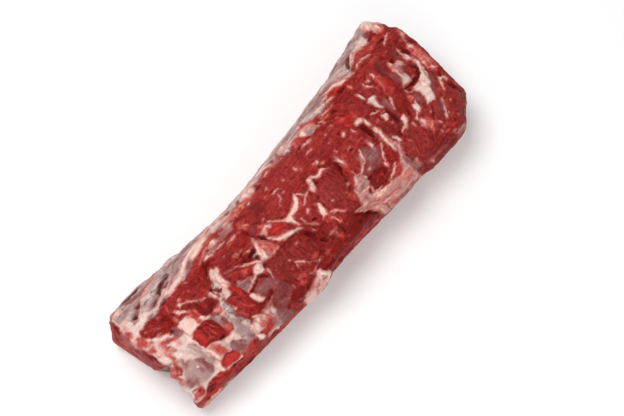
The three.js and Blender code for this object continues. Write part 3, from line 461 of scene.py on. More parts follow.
PINK_PATCHES = [
    [(-155, -19), (-150, -18.3), (-143, -17), (-147.5, -26.5), (-150, -26)],
    [(212, 17), (218, 14), (219.6, 6), (217.6, 0), (219, -8), (217, -14), (213.4, -24), (209, -26.6),
        (206.6, -18), (209, -8), (209.6, 2)],
]

# Fat: seams, flakes and strips of cream fat, which stand up
FAT_LINES = [
    (0.8, (-235.6, -77.4), (-222, -77.6), (-210, -77.8)), (1.4, (-217.5, 51), (-210, 50.8)),
    (1.6, (-216, 7), (-209, 0), (-201, -4.5)), (2.4, (-218, 10), (-210, 3), (-203, -1), (-199, -7)),
    (0.75, (-194.4, 39.6), (-190, 42.4), (-184, 44.4), (-178, 45.3), (-169, 48), (-159, 50.2)),
    (0.8, (-178, 11), (-175.6, 9)), (1.5, (-177.3, 10), (-175.6, 4.4), (-170.6, -1.4)),
    (0.6, (-167.6, 13.2), (-164.4, 15)), (1.8, (-172, 28.5), (-162, 29), (-148, 31.5)),
    (0.6, (-167.6, 9.4), (-160.5, 5), (-154.6, 0), (-150, -4.6), (-146.5, -4.6)),
    (1.1, (-136, -15), (-142, -22), (-147, -28.5), (-151, -31)),
    (1.2, (-142.4, -50), (-142, -58), (-142, -68)), (0.9, (-138, -79), (-130, -79.4)),
    (2.1, (-152, 28.5), (-143, 31), (-134, 34.6), (-126, 38.4), (-114, 40), (-100, 38)),
    (3, (-121, 10), (-124, 3), (-125, -4)), (0.9, (-125, 23), (-114, 27), (-104, 31)),
    (3.4, (-117, -39), (-114, -46), (-112, -50)),
    (0.8, (-116.4, -34.6), (-108, -33), (-101.4, -30.6), (-95, -28)), (0.8, (-98, -11), (-91, -14)),
    (0.8, (-108, 40.6), (-92, 42), (-76, 41)), (1.7, (-92, -15), (-86, -18.6), (-81.4, -23)),
    (2.2, (-69.6, -5), (-73.4, -13), (-77.4, -23)), (1, (-71, -27), (-64, -27), (-57, -25)),
    (1, (-72, 36), (-56, 37)), (1, (-60, -51), (-56, -55), (-54, -58)), (1.2, (-57, -9), (-54, -15)),
    (0.8, (-56, -4), (-51, -3.4), (-47, -3), (-44, -5)),
    (2.6, (-54, -16), (-49, -21), (-42, -25), (-33, -27)),
    (1.1, (-42, -1), (-37, -6), (-32, -11), (-27, -12)), (1.2, (-33, -27), (-28, -29), (-25, -33)),
    (1, (-30, 40), (-12, 40)), (2.8, (-27, -13), (-22, -13), (-14, -12), (-8, -9), (-4, -4), (-2, -1)),
    (1.2, (-15, 16.5), (-8, 16.5)), (1.1, (-10, -27), (-7, -24), (-6, -22)),
    (1.1, (-3, -1), (2, -4), (4, -10)), (0.6, (3, -46), (3.6, -56)), (0.7, (7, -42), (11, -46), (16, -53)),
    (0.7, (22, 17), (22, 21)), (0.7, (21.4, -62), (25.5, -62.6), (29, -63.6)),
    (0.9, (25, -65), (28, -69.5), (32, -71)),
    (1.9, (24.5, -2.6), (29, -5.4), (33, -6.6), (38, -4.8), (43, -8)),
    (0.8, (34.3, -75), (36.5, -77.5), (38.6, -79.3)), (1, (45, 41), (36, 38)),
    (0.8, (41.5, -48), (40.5, -53)), (0.6, (44, 17.5), (50, 17.5)),
    (1.2, (45, -55.5), (50, -55.8), (55, -53.8)), (1.6, (54.5, -38), (50.5, -41.5), (46, -44.5)),
    (0.8, (50, -84.5), (54, -82)), (1.1, (56.4, -56.3), (54, -60), (52, -63.5)), (0.8, (52, -79), (58, -80)),
    (1.5, (48.5, -67.5), (55, -71), (62, -72)), (1.1, (54, -65.3), (59, -65.8), (63.5, -65)),
    (1, (60.5, -43), (61.5, -49), (58, -52.5)),
    (1.5, (50, -66), (56, -68.5), (62, -70), (70, -70.6), (75, -70)), (0.8, (62, -83), (68, -85)),
    (0.8, (59, -41.5), (63, -38.5), (68, -36.8), (72.6, -35.4), (76, -33)),
    (1.5, (75.6, -33.6), (77, -30), (79.4, -26), (82.6, -22)),
    (1.3, (93, -60), (88.6, -62.9), (81.4, -65.4), (73, -66.6)), (0.9, (78, -86), (86, -85), (92, -84)),
    (0.7, (84, -76), (92, -74)), (0.75, (88.6, -50.7), (91.4, -45.7), (97.1, -39.3), (102.9, -35)),
    (0.9, (88, 35.6), (98, 34.6), (108, 32.6)), (0.8, (100, -63), (104, -59.5), (107, -54)),
    (0.9, (110, 43), (104, 40)), (2, (114, -18), (110, -30), (107, -42), (105, -52)),
    (1, (108.6, -33), (110.8, -24), (112, -17)), (0.9, (100, 44.4), (112, 45.4), (122, 46)),
    (0.8, (118, -88), (122, -88)), (2, (110, 48), (125, 47), (135, 43), (141, 41)),
    (0.9, (123, -4), (128, -6), (133, -8)), (1, (134, -41), (128, -44)), (2, (133, 22), (135, 12)),
    (1.7, (144, -34), (138, -36), (134, -41)), (0.8, (153, -8), (149, -13), (145, -20)),
    (1.4, (155, -41), (150, -45), (148, -47)),
    (0.8, (157.8, 40.6), (164.4, 43.9), (172, 43.5), (180.6, 41.7)),
    (0.9, (156, 48.3), (165, 50.3), (170, 53.6), (185, 54.2), (193, 51)), (1, (186, -51), (184, -54)),
    (1.5, (197, -46), (201, -40), (205.6, -34)), (1, (206, -6), (203, -14), (198, -24)),
    (0.6, (204.4, 22.8), (203.5, 18), (202, 12.8)),
    (1.2, (197, -46), (201, -39), (205, -35.4), (209, -37), (209.6, -41)),
    (1.1, (214.5, 42.5), (208, 41), (203, 38.5), (201, 35.5)), (1.2, (205.6, -34), (209, -37), (207.5, -42)),
]
FAT_SPOTS = [
    (-228.5, 13, 1.4, 3), (-226, 20.5, 3.4, 1.6), (-224, 33, 2.4, 1.4), (-222, -8, 1.8, 2.6),
    (-219, 38.5, 4, 1.6), (-215, 50.6, 5, 1.7, 2), (-214.7, -42.4, 1.2, 1), (-208.7, -46.7, 2.2, 1.6),
    (-195.4, -64, 2.8, 4.6, -20), (-169.6, 9.4, 2, 2.2), (-165, -16, 3.6, 2.4, -35),
    (-163, -51.5, 4, 2.4, -10), (-160, 28.8, 9, 2.6, 5), (-141, -8.5, 1.8, 3.4), (-140, -8, 1.8, 4.5, 8),
    (-137, -34.6, 1.4, 2.6), (-136, -9, 1.6, 4.2), (-135.6, -8.6, 1.3, 3, 10), (-133, -61, 3, 2, 30),
    (-131, -80, 6, 1.6), (-127.4, -14, 1.6, 4, 10), (-112, 21.5, 4, 1.8, -10), (-103, -29, 1, 1),
    (-96.6, 28.2, 5, 2.5, -5), (-90, 1, 3, 0.6), (-89, -25, 3.6, 3.4), (-80, -5, 2.4, 0.9, -6),
    (-80, 16, 3, 0.6, 5), (-80, -84, 5, 1.4, 10), (-53, -78, 2.6, 3.6, 20), (-43.6, -66.6, 1.2, 0.9),
    (-38, 28, 2.4, 1.4, 20), (-35, 37, 4, 3.6), (0, 36, 4, 1), (15.6, -12, 1.8, 4, -20),
    (21, -3.6, 2.4, 2.8, -30), (33.6, 41.8, 3.4, 2), (42, -84, 1.6, 2.4), (43, 3.6, 2.6, 1.4, 10),
    (53, 25.5, 4.6, 1.4, -3), (59, -13, 2.2, 6.6), (60, 36, 3, 3.5), (62, 45, 4, 1.4), (71, -43, 1.5, 1.2),
    (86, 3, 3.4, 1.4, 25), (86, -53, 1.5, 2.4, 8), (94.5, -28, 1.8, 5, -6), (95, -86, 3, 1.6),
    (96.5, -3, 1.3, 3.2), (108, 0, 5, 2.4, -10), (110, 39.4, 4, 1.4), (111, -75, 1.2, 1.3),
    (113, -6, 2.2, 6.5), (140, -34, 4, 2.8, 30), (149, 18, 1.4, 4, 20), (154, 23, 2, 1.4), (162, 22, 2.2, 3),
    (168.5, -17, 0.9, 1.6, -20), (180, -11.6, 5, 1.3, -6), (184, 16, 1.5, 3), (186, 57, 5, 1.6, 4),
    (188, -26, 4, 5, 30), (204, 7, 1.8, 5), (204.6, -35.5, 3, 2.4), (205, 9, 1.6, 3),
    (205.4, -35.5, 2.4, 1.8), (206, 63, 3.4, 3, 10), (211, -10, 1.4, 3), (212, 56, 3, 3.6),
    (212, -20, 2, 3.4), (217, 12.5, 1.9, 3.6), (221.8, 30, 1.4, 5, -6),
]
FAT_PATCHES = [
    [(-198.3, -59.3), (-190.3, -58.3), (-192.3, -64.7), (-193, -68), (-195.7, -69.7), (-198.3, -66.7)],
    [(-190.5, -41), (-186.8, -41), (-186.4, -50), (-187, -58), (-190.5, -58), (-191, -50)],
    [(-188, -3), (-184, -1), (-178, -2), (-173, -5), (-171, -11), (-173, -18), (-180, -20), (-188, -20),
        (-190, -13)],
    [(-192, -68.5), (-187.5, -69.5), (-180.5, -71.5), (-176.5, -71.5), (-173.8, -71.2), (-171.6, -70),
        (-171.6, -74), (-174, -74.3), (-177.5, -73), (-184, -71.8), (-192, -71)],
    [(-171, 27), (-166, 25), (-158, 24.4), (-150, 24.6), (-146, 26), (-142, 28.4), (-150, 31.2),
        (-160, 32.2), (-168, 31)],
    [(-145, -70), (-142, -71), (-141, -77), (-145, -78), (-149, -75.5)],
    [(-119, 12), (-126, 7), (-127, 0), (-126, -8), (-133, -16), (-137, -19), (-133, -8), (-128, -6),
        (-125, -16), (-121, -16), (-122, -8), (-120, 0), (-116, 4), (-113, 8), (-117, 8)],
    [(-126, 33.4), (-121, 36), (-112, 38.4), (-100, 39), (-93, 37.6), (-100, 34.8), (-110, 32.6),
        (-118, 31.8), (-124, 31.4)],
    [(-33, -12), (-21, -12), (-22, -20), (-24, -29), (-26, -24), (-29, -17)],
    [(5, -26), (7, -29), (6, -38), (3, -41), (-4, -42), (0, -34)],
    [(129, -13), (135, -16), (136, -20), (127, -23)],
]

# Red: bright lean on top of the rest
RED_LINES = [
    (1.2, (-238.4, 41), (-240, 31), (-239.4, 22)), (0.8, (-229, 46), (-231, 38), (-232, 30)),
    (0.8, (-186, 46), (-172, 49), (-160, 51)), (0.9, (-175, 47.4), (-167, 49.8), (-158.6, 51.4)),
    (0.9, (-165, 28.5), (-160, 30), (-154.4, 31.4)), (0.7, (-165, 28.5), (-154, 31)),
    (1.6, (-140, -77), (-134, -74), (-127, -73)), (0.9, (-150, -81), (-120, -84), (-96, -86)),
    (0.9, (-125, 27), (-112, 31), (-100, 34)), (0.9, (-100, 34), (-90, 35), (-87, 33)),
    (1.3, (-72, -86.6), (-66, -83.4), (-60, -81)), (0.8, (-5, 39), (8, 39.6)),
    (0.7, (-5, 38.6), (2, 39), (9, 38.2)), (0.8, (12, 42), (16, 42)),
    (0.8, (60, 43), (68, 43), (75, 40), (85, 36)), (1.6, (166, 10), (168, 2), (167, -5)),
]
RED_SPOTS = [
    (-228.7, -41.7, 1.7, 2.1), (-228.5, -41, 2, 2.6), (-227, -65, 3.4, 4), (-226.4, -64.5, 5.4, 4.6),
    (-225.7, 28, 3, 4.4), (-224.4, 11, 4, 6.2, 8), (-223.6, -37, 4, 2.2), (-223.5, -30.5, 4, 3.2),
    (-222.6, -0.5, 4, 3.4), (-222.4, 15, 4.2, 3.2, 10), (-222, -33, 4.6, 5), (-221.6, 51.4, 1.4, 1.2),
    (-221.2, 11, 2.8, 3.6), (-219, -27, 2.6, 4, 10), (-217.6, 6, 2, 3, 20), (-217, -24, 2.2, 3, 20),
    (-216.7, -23, 2, 2.8), (-210.8, -11, 1.4, 2), (-205, -7, 3, 0.8, -35), (-183.5, -34, 3.4, 3.4),
    (-183.5, -30, 5.2, 8.6), (-180.6, -50, 3, 6.5), (-180, -66, 7, 3.4), (-167, -9, 3, 3.6),
    (-159.6, 30.2, 4.4, 1, 14), (-121.5, -24, 4.2, 9, -8), (-67, -9, 1, 1), (-58, 33.4, 2, 1.2),
    (-56, -83, 2.2, 1.6), (-55.4, -83.6, 2.2, 1.6), (-50, 31, 3, 1.4, -8), (-44, 38, 2.4, 1.4),
    (-43, -12, 8, 5.6, -20), (48.6, 34, 4, 2.6), (55, -26, 2.6, 7, -12), (59, -86.6, 3, 2.2, 30),
    (66, 27, 1, 1), (66, -53, 1.6, 2.4), (68, -14, 5, 2.6), (73, -56.6, 3.4, 1.4, 20),
    (84.3, -88.2, 3.4, 1.4), (85.8, -70.3, 2.2, 2.2), (92, -66, 2, 1.4, 20), (100, 5, 4, 4), (104, 30, 8, 3),
    (116.6, 43.4, 4.4, 3, 20), (124, 41, 10, 4, -12), (212, -15, 1.8, 3.2), (213, 2, 1.6, 1.2),
    (214.4, 9, 2, 3.2), (215.5, -18.3, 2, 3.2), (216.5, 55, 2.2, 2.4), (221, -3, 1.1, 5, 5),
]
RED_PATCHES = [
    [(-235, -73), (-223, -71.5), (-218.3, -67.8), (-210.3, -66), (-205, -67.8), (-199, -67.5),
        (-195.7, -70.5), (-186, -72), (-186, -77), (-193, -76.7), (-205, -74), (-218.3, -76), (-233, -76)],
    [(-186, -47), (-182, -46), (-178, -47), (-176.4, -52), (-176.8, -58), (-181, -59), (-185.5, -57),
        (-186.4, -52)],
    [(-191, -66.5), (-188, -61.2), (-180.5, -60.6), (-173.8, -63), (-171.8, -67), (-173.5, -70.5),
        (-180.5, -70.6), (-187.4, -68.3)],
    [(-171.5, -71), (-165, -73), (-158, -72.5), (-153.5, -69), (-149.8, -70), (-150, -75), (-155, -77.5),
        (-162, -77.7), (-172, -76)],
    [(-140, -71), (-133, -71.5), (-127, -70), (-124, -72), (-127, -76), (-134, -76), (-140, -76.5)],
    [(-132, 27), (-120, 28), (-110, 30), (-118, 25), (-128, 22)],
    [(-75, -89.5), (-71.2, -85.8), (-67.5, -83.2), (-62.5, -80.8), (-60.3, -82.5), (-64, -84.4),
        (-68.8, -86.2), (-71.5, -89.5)],
    [(3, -82), (10, -79.6), (18, -81.6), (18, -86.6), (8, -87.4), (2, -85.6)],
    [(91, 21), (96, 20), (103, 17), (110, 12.5), (109, 4), (101, 2.6), (94, 4)],
    [(166, -80.6), (170, -77.4), (176, -75.6), (177, -79), (173, -82.4), (168, -83)],
]

# Dark: painted shade in the slits, pits and hollows, which are also cut down into the skin
SLIT_SHADE_LINES = [
    (0.6, (-233.8, 44.4), (-238, 38.6), (-240.7, 31)), (0.45, (-236.8, 18), (-236.2, 6)),
    (0.45, (-233.4, 20), (-232.8, 8)), (0.4, (-231.8, 38), (-232.8, 30)), (0.45, (-229.2, 2), (-229.4, -10)),
    (0.7, (-228.4, -4), (-228.4, -12), (-229.5, -18)), (0.7, (-228, 46), (-229, 37)),
    (0.8, (-230, -75), (-222, -75)), (0.6, (-227, -36), (-224, -39), (-220, -37)),
    (2, (-221, -72.4), (-216, -70), (-210, -70.5)), (0.7, (-210, -67.5), (-203, -71)),
    (0.8, (-209, -79.3), (-203, -79.6)), (0.8, (-201.6, 42.2), (-197, 41.6), (-194, 41)),
    (1.3, (-200, -72.5), (-194, -74), (-190, -74)), (0.9, (-199, -80.4), (-186, -81)),
    (1.7, (-206, 57), (-195, 55.6), (-183, 56), (-173, 57)), (0.7, (-187, 30.6), (-181, 32), (-176, 32.6)),
    (0.5, (-187, -61.3), (-180, -60.7), (-175, -62.2)), (0.9, (-186, -72.8), (-180, -74.4), (-172, -75.8)),
    (1.3, (-182, 25), (-173, 26)), (0.5, (-176, -26), (-175.5, -34)),
    (0.9, (-190, -81), (-176, -82.3), (-160, -83.6)), (0.5, (-168.5, -24), (-168, -34)),
    (1.8, (-175, 33), (-168, 37), (-160, 40.3), (-150, 41.5)), (0.6, (-165, 34.8), (-157, 36.5)),
    (0.7, (-160, 0), (-156, -12)), (1, (-153.5, -75), (-151, -71.5)), (0.8, (-137, -82.6), (-130, -83)),
    (0.9, (-139, -82), (-132, -83), (-127, -84)), (0.7, (-136, -24.5), (-131, -23.6), (-127, -26.5)),
    (1, (-128, 6), (-126, 10), (-121, 15), (-117, 18)), (1.2, (-117, -52), (-108, -53), (-97, -51)),
    (1.3, (-113, -36), (-104, -34), (-97, -31)), (2, (-97, -31), (-92, -34), (-89, -40)),
    (1.2, (-92, -78), (-88, -83)), (1, (-66, -74.4), (-76, -77.7), (-84, -80.4)),
    (0.8, (-74.4, -60), (-74, -69)), (1, (-34, -78), (-46, -79)), (1.5, (-28, -38), (-27, -43), (-24, -47)),
    (0.8, (-18, -50), (-16, -62)), (0.9, (48.2, -79.3), (49.6, -83), (48.5, -89)),
    (1.6, (54, -9), (52, -16), (48, -27)), (0.7, (56, -63.4), (66, -64.8), (72, -66)),
    (2.2, (107, -4), (106, -14), (104, -24)), (0.7, (100, -84.6), (108, -85), (115, -84.6)),
    (0.8, (108, -62), (108.6, -68), (107, -73)), (0.9, (117, 26.5), (125, 26.5)),
    (0.7, (126, -10), (126, -20)), (1.5, (137, -14), (137, -26), (136, -36)), (0.8, (144, -70), (138, -78)),
    (0.8, (135, -88), (160, -91)), (1.1, (152, -30), (150, -38)),
    (1.4, (146, -91.4), (156, -91.6), (161, -89.6)), (2.6, (152.3, 48), (157, 52.3), (164.4, 56.6)),
    (0.9, (176, -45), (172, -50), (160, -60)),
    (1.9, (171, -14), (181, -16.3), (192, -15.2), (197.8, -10.8), (200.8, -4)),
    (0.9, (204, -46), (204.6, -58)), (0.8, (210, -30), (207.6, -34)), (0.6, (222, 24), (224, 12)),
]
SLIT_SHADE_SPOTS = [
    (-229.6, -59.4, 2.2, 0.8), (-226.4, -62.8, 1.5, 1), (-223.6, -66.4, 1.3, 1), (-223, -31.4, 1.5, 1.1, 20),
    (-220.6, -35.6, 1.1, 1.6), (-207, 36, 2.4, 2.2), (-206.5, 36.6, 2, 1.8), (-196, -3, 4, 1.6),
    (-168.2, -45, 3.2, 1.6), (-136, -3.5, 1.6, 2), (-133, -84, 5, 0.9, -3), (-132, -9.4, 2.4, 3, 20),
    (-131, -11, 2.2, 2.6, -30), (-112, -37, 2, 1.6), (-94.6, -66, 1.3, 1.3), (-82, -28, 2.6, 2.4),
    (-80, -10, 4.5, 2.2, 10), (-79.5, -17, 1.6, 2), (-65, 6, 1, 3, 8), (-62, 39, 2.4, 0.9, -10),
    (-59, -6.5, 2.4, 2.8), (-58.7, -89.8, 1.6, 0.8), (-50, -72.2, 2.6, 1.1, 20), (-48, -77, 1.3, 2.2),
    (-44, 38.3, 2.6, 1.2, 5), (-43, -77, 2, 1.5), (-40, -30, 6, 0.8, 4), (-28, -82, 3, 1.2),
    (-22, -57, 2.4, 3), (-18, 34, 2.6, 1.4), (-10, -36, 3, 2), (-0.4, -66, 2.2, 4.6, -10),
    (12, -22, 2.2, 1.6, 30), (14.2, 42, 1.4, 0.9), (17, -72, 4, 2), (22, -67, 5, 1.8, -20),
    (25, -10, 1.4, 3), (27, -73, 6, 3.4, -30), (28, -60, 2.2, 1.2), (32, -43, 1.4, 1.4), (34, -80, 2, 5, 10),
    (40, -42, 3.4, 1.2, 30), (42, -2, 2, 1.2), (44, -35, 2.2, 1.2), (45, 28, 2.6, 1.2),
    (51.8, -59.8, 1.5, 3.2, -35), (63, -50, 2.4, 2.6), (78, -14, 2, 2), (84, 8, 2.8, 1.6),
    (102, 29, 3, 2.6, -20), (108, -72, 1.4, 2), (125, -36, 1.6, 1.4), (127, 38, 4.5, 2, -6),
    (155, 28, 2.4, 0.9, 15), (174.6, -77.6, 2.4, 1.9, 20), (189.8, 18.6, 3, 2.3), (198.6, -4, 2, 2.6, 30),
    (203.3, 43, 3.6, 1.5), (203.5, 43, 3.6, 1.9), (206, -52, 2, 4), (209.5, 14, 2.4, 8),
]

# Muscle blocks: tone from 0, dark, to 1, bright, how dull it is, the turn of the fibres in degrees, and
# the outline. A point that lies in two belongs to the one that it lies deeper in.
MUSCLE_BLOCKS = [
    (0.3, 0, 0, [(-220, 18), (-213, 22), (-200, 24), (-190, 23), (-181, 23), (-181, 12), (-184, 5),
        (-188, 0), (-194, -4), (-199, -2), (-206, 3), (-214, 7)]),
    (0.42, 0.05, -8, [(-179, 24), (-160, 24), (-146, 25), (-134, 28), (-122, 26), (-118, 18), (-124, 9),
        (-128, 3), (-133, -3), (-141, -4), (-150, -3), (-158, 4), (-166, 10), (-176, 12)]),
    (0.18, 0, -25, [(-172, 8), (-166, 7), (-156, -1), (-150, -6), (-146, -6), (-142, -12), (-144, -16),
        (-153, -18), (-159, -19), (-164, -12), (-168, -6), (-174, 0)]),
    (0.4, 0.1, -4, [(-118, 14), (-108, 18), (-95, 19), (-80, 20), (-66, 24), (-60, 18), (-58, 12), (-64, 8),
        (-67, 2), (-72, -2), (-77, -8), (-82, -11), (-90, -10), (-98, -8), (-108, -2), (-114, 3)]),
    (0.45, 0.35, 3, [(-60, 24), (-40, 30), (-20, 34), (0, 36), (20, 36), (40, 33), (60, 30), (75, 25),
        (90, 20), (95, 10), (98, 0), (80, 0), (60, 0), (45, 2), (38, -3), (24, -1), (5, -1), (-3, 0),
        (-14, -8), (-26, -10), (-34, -4), (-42, 2), (-50, 8), (-58, 12)]),
    (0.42, 0.3, 5, [(100, 26), (130, 30), (160, 38), (190, 40), (204, 34), (206, 24), (200, 18), (186, 20),
        (174, 22), (170, 12), (160, 22), (150, 22), (134, 24), (132, 10), (130, -2), (120, -3), (114, 0),
        (106, 4)]),
    (0.46, 0.1, -35, [(-119, -2), (-110, -4), (-102, -9), (-95, -15), (-95, -22), (-100, -25), (-108, -21),
        (-116, -15)]),
    (0.74, 0, -20, [(-55, -8), (-48, -4), (-43, -2), (-38, -4), (-33, -10), (-30, -16), (-33, -21),
        (-40, -22), (-48, -19), (-53, -14)]),
    (0.3, 0.6, 84, [(-86, -30), (-75, -29), (-60, -27), (-45, -29), (-32, -30), (-29, -38), (-26, -48),
        (-24, -58), (-30, -64), (-42, -65), (-55, -68), (-66, -66), (-76, -64), (-84, -55), (-88, -45)]),
    (0.25, 0.2, 25, [(-103, -72), (-92, -72), (-80, -71), (-66, -68), (-57, -72), (-60, -77), (-74, -78),
        (-88, -84), (-100, -86)]),
    (0.26, 0.15, 20, [(-45, -68), (-30, -64), (-10, -62), (5, -60), (18, -62), (26, -68), (33, -75),
        (36, -82), (20, -88), (-10, -88), (-46, -86)]),
    (0.38, 0.6, 80, [(12, -14), (25, -12), (38, -9), (46, -6), (52, -10), (50, -22), (48, -30), (55, -36),
        (44, -46), (36, -58), (26, -62), (18, -58), (14, -50), (7, -43), (7, -30), (8, -20)]),
    (0.46, 0.3, 65, [(-19, -14), (-8, -12), (0, -5), (4, -12), (12, -14), (6, -24), (0, -32), (-4, -44),
        (-14, -44), (-20, -34), (-21, -22)]),
    (0.34, 0.3, 60, [(-22, -48), (-6, -45), (2, -43), (12, -50), (18, -59), (4, -60), (-12, -61),
        (-24, -60)]),
    (0.48, 0.35, 8, [(60, -2), (80, -2), (102, -3), (104, -12), (103, -24), (98, -30), (96, -22), (86, -19),
        (78, -22), (72, -32), (62, -37), (58, -30), (60, -20)]),
    (0.12, 0, 10, [(62, -48), (74, -48), (84, -53), (84, -60), (76, -65), (66, -66), (56, -62), (60, -54)]),
    (0.2, 0.5, 5, [(114, -24), (126, -24), (136, -23), (136, -38), (126, -43), (116, -43), (113, -34)]),
    (0.36, 0.3, 70, [(112, -4), (122, -4), (133, -9), (136, -14), (128, -16), (126, -22), (114, -22),
        (110, -14)]),
    (0.36, 0.1, 75, [(154, -7), (169, -7), (167, -20), (160, -24), (152, -30), (146, -30), (147, -20)]),
    (0.36, 0.4, 80, [(137, 21), (150, 20), (157, 14), (154, 2), (150, -8), (146, -20), (140, -30),
        (138, -16), (138, -8), (144, 1), (142, 8), (137, 11)]),
    (0.38, 0.6, 50, [(111, -48), (120, -50), (128, -45), (140, -42), (152, -45), (160, -42), (172, -46),
        (182, -48), (176, -60), (166, -70), (158, -73), (150, -72), (140, -80), (120, -82), (112, -78),
        (108, -70), (108, -60)]),
    (0.38, 0.6, 42, [(190, -50), (202, -49), (205, -58), (208, -66), (196, -76), (184, -84), (172, -88),
        (168, -80), (176, -66), (184, -55)]),
    (0.28, 0.2, 5, [(110, -84), (130, -84), (150, -80), (166, -78), (164, -88), (150, -94), (124, -94),
        (108, -90)]),
    (0.36, 0.3, 60, [(186, -38), (193, -31), (198, -24), (203, -27), (202, -35), (197, -44), (192, -49),
        (184, -47)]),
    (0.34, 0.6, 85, [(172, 18), (178, 20), (178, 8), (176, -4), (171, -4), (172, 8)]),
    (0.52, 0.1, 85, CHINE_ISLAND),
    (0.44, 0.1, 60, [(103, -37), (97, -43), (91.5, -50), (91, -56), (94.3, -58), (97, -61), (100.7, -61.4),
        (106.4, -53), (105.7, -45.7)]),
    (0.6, 0.35, 5, [(162, 46), (168, 50.5), (172, 52.8), (184, 53.2), (192, 50), (194, 45), (186, 43.5),
        (176, 44), (168, 45)]),
    (0.38, 0.5, 60, [(187, -1), (194, 4), (201, -2), (200, -8), (192, -14), (187, -13)]),
    (0.66, 0.15, 82, [(160, 24), (166, 20), (170, 8), (170.5, -2), (168, -8), (160, -7), (153, -6), (156, 4),
        (158, 16)]),
    (0.4, 0.1, 78, NEAR_ISLAND),
    (0.43, 0, 80, MIDDLE_ISLAND),
    (0.56, 0, 85, [(-226.5, 53), (-234, 46), (-240, 38), (-241.5, 31), (-240, 20), (-238.5, 6), (-237, -8),
        (-236, -16), (-231, -20), (-228.4, -18), (-227.6, -4), (-228.6, 8), (-231.2, 12), (-231.2, 27),
        (-228, 36), (-226, 43)]),
]
# The tone and dullness of the muscle between the blocks
OPEN_TONE = 0.38
OPEN_DULLNESS = 0.15

# Lines, spots and patches of each tissue, from the lowest layer to the highest. Wine and dark are painted
# shade, laid in as layers like the tissues.
TISSUES = {
    "silver": ([], SILVER_SPOTS, SILVER_PATCHES),
    "pale": (PALE_LINES, PALE_SPOTS, PALE_PATCHES),
    "tan": (TAN_LINES, TAN_SPOTS, TAN_PATCHES),
    "film": (FILM_LINES, FILM_SPOTS, FILM_PATCHES),
    "mauve": (MAUVE_LINES, MAUVE_SPOTS, MAUVE_PATCHES),
    "flesh": ([], [], FLESH_PATCHES),
    "wine": (WINE_LINES, WINE_SPOTS, WINE_PATCHES),
    "rose": (ROSE_LINES, ROSE_SPOTS, ROSE_PATCHES),
    "pink": (PINK_LINES, PINK_SPOTS, PINK_PATCHES),
    "fat": (FAT_LINES, FAT_SPOTS, FAT_PATCHES),
    "red": (RED_LINES, RED_SPOTS, RED_PATCHES),
    "dark": (SLIT_SHADE_LINES, SLIT_SHADE_SPOTS, []),
}
# The tissues' fields are stored on the skin in threes, in the same order
FIELD_GROUPS = {
    "sheets": ("silver", "pale", "tan"),
    "films": ("film", "mauve", "flesh"),
    "blooms": ("wine", "rose", "pink"),
    "marks": ("fat", "red", "dark"),
}
# The tissues that count as hiding the muscle
COVERS = ("fat", "silver", "pale", "tan")

# How deep and how far out a field is told
FIELD_LIMIT = 4.0
# How much of a line's radius is lost at its ends, and how late along it
LINE_TAPER = 0.55
TAPER_POWER = 3
# How uneven a spot's outline is
SPOT_LOBES = 0.16
# A squared length too small to divide by
TINY = 1e-9

# Factors that stir a cell's place and a seed into a number of chance, and the largest number kept of it
STIR_X, STIR_Y, STIR_Z, STIR_SEED, STIR_AGAIN = 374761393, 668265263, 1442695041, 974634777, 1274126177
STIR_TOP = 0xFFFF

# Noises on the skin: how fast each changes along the loin against across it, its size, and its seed
NOISES = {
    "cap edge": (1, 16, 41), "cap edge ripple": (1, 5, 43), "cap rim": (1, 14, 71),
    "seam across": (1, 8, 45), "seam across ripple": (1, 3, 46), "seam up": (1, 8, 48),
    "silver": (1, 12, 47), "pale": (0.25, 5, 49), "pink": (0.6, 22, 51), "pink ripple": (1, 6, 53),
    "mauve": (0.6, 18, 55), "mauve ripple": (1, 5, 57),
    "lumps": (1, 8, 63), "small lumps": (1, 4, 65), "knobs": (1, 2.2, 66),
    "cap lumps": (0.7, 15, 67), "folds": (0.09, 3.2, 68),
}


def ease(share):
    """A share from 0 to 1, made to start and end softly."""
    return share * share * (3 - 2 * share)


def smoothstep(value, low, high):
    """A soft step from 0 at the low value to 1 at the high one."""
    return ease(np.clip((value - low) / (high - low), 0, 1))


def lattice_value(cells, seed):
    """One number from -1 to 1 for each whole-number cell, always the same."""
    x, y, z = cells.T
    mixed = x * STIR_X + y * STIR_Y + z * STIR_Z + seed * STIR_SEED
    mixed = (mixed ^ (mixed >> 13)) * STIR_AGAIN
    mixed = mixed ^ (mixed >> 16)
    return (mixed & STIR_TOP) / (STIR_TOP / 2) - 1.0


def noise(points, size, seed):
    """Smooth noise from -1 to 1 that changes over about this size."""
    scaled = points / size
    cells = np.floor(scaled).astype(np.int64)
    part = ease(scaled - cells)
    total = np.zeros(len(points))
    for corner in itertools.product((0, 1), repeat=3):
        share = np.prod(np.where(corner, part, 1 - part), axis=1)
        total += share * lattice_value(cells + corner, seed)
    return total


def skin_noise(points, name):
    """One of the named noises at each point."""
    pace, size, seed = NOISES[name]
    return noise(points * (pace, 1, 1), size, seed)


def segment_place(points, start, end):
    """Where along a straight stretch each point is nearest to it, as a share, and its distance."""
    start, end = np.array(start, float), np.array(end, float)
    way = end - start
    share = np.clip((points - start) @ way / max(way @ way, TINY), 0, 1)
    return share, np.linalg.norm(points - start - share[:, None] * way, axis=1)


def line_depth(points, line):
    """How deep each point lies inside a line, which is full in its middle and thinner at its ends."""
    radius, *route = line
    lengths = [math.dist(a, b) for a, b in zip(route, route[1:])]
    total, before = sum(lengths), 0.0
    nearest = np.full(len(points), np.inf)
    place = np.zeros(len(points))
    for start, end, length in zip(route, route[1:], lengths):
        share, distance = segment_place(points, start, end)
        closer = distance < nearest
        nearest[closer] = distance[closer]
        place[closer] = (before + share[closer] * length) / total
        before += length
    return radius * (1 - LINE_TAPER * np.abs(2 * place - 1) ** TAPER_POWER) - nearest


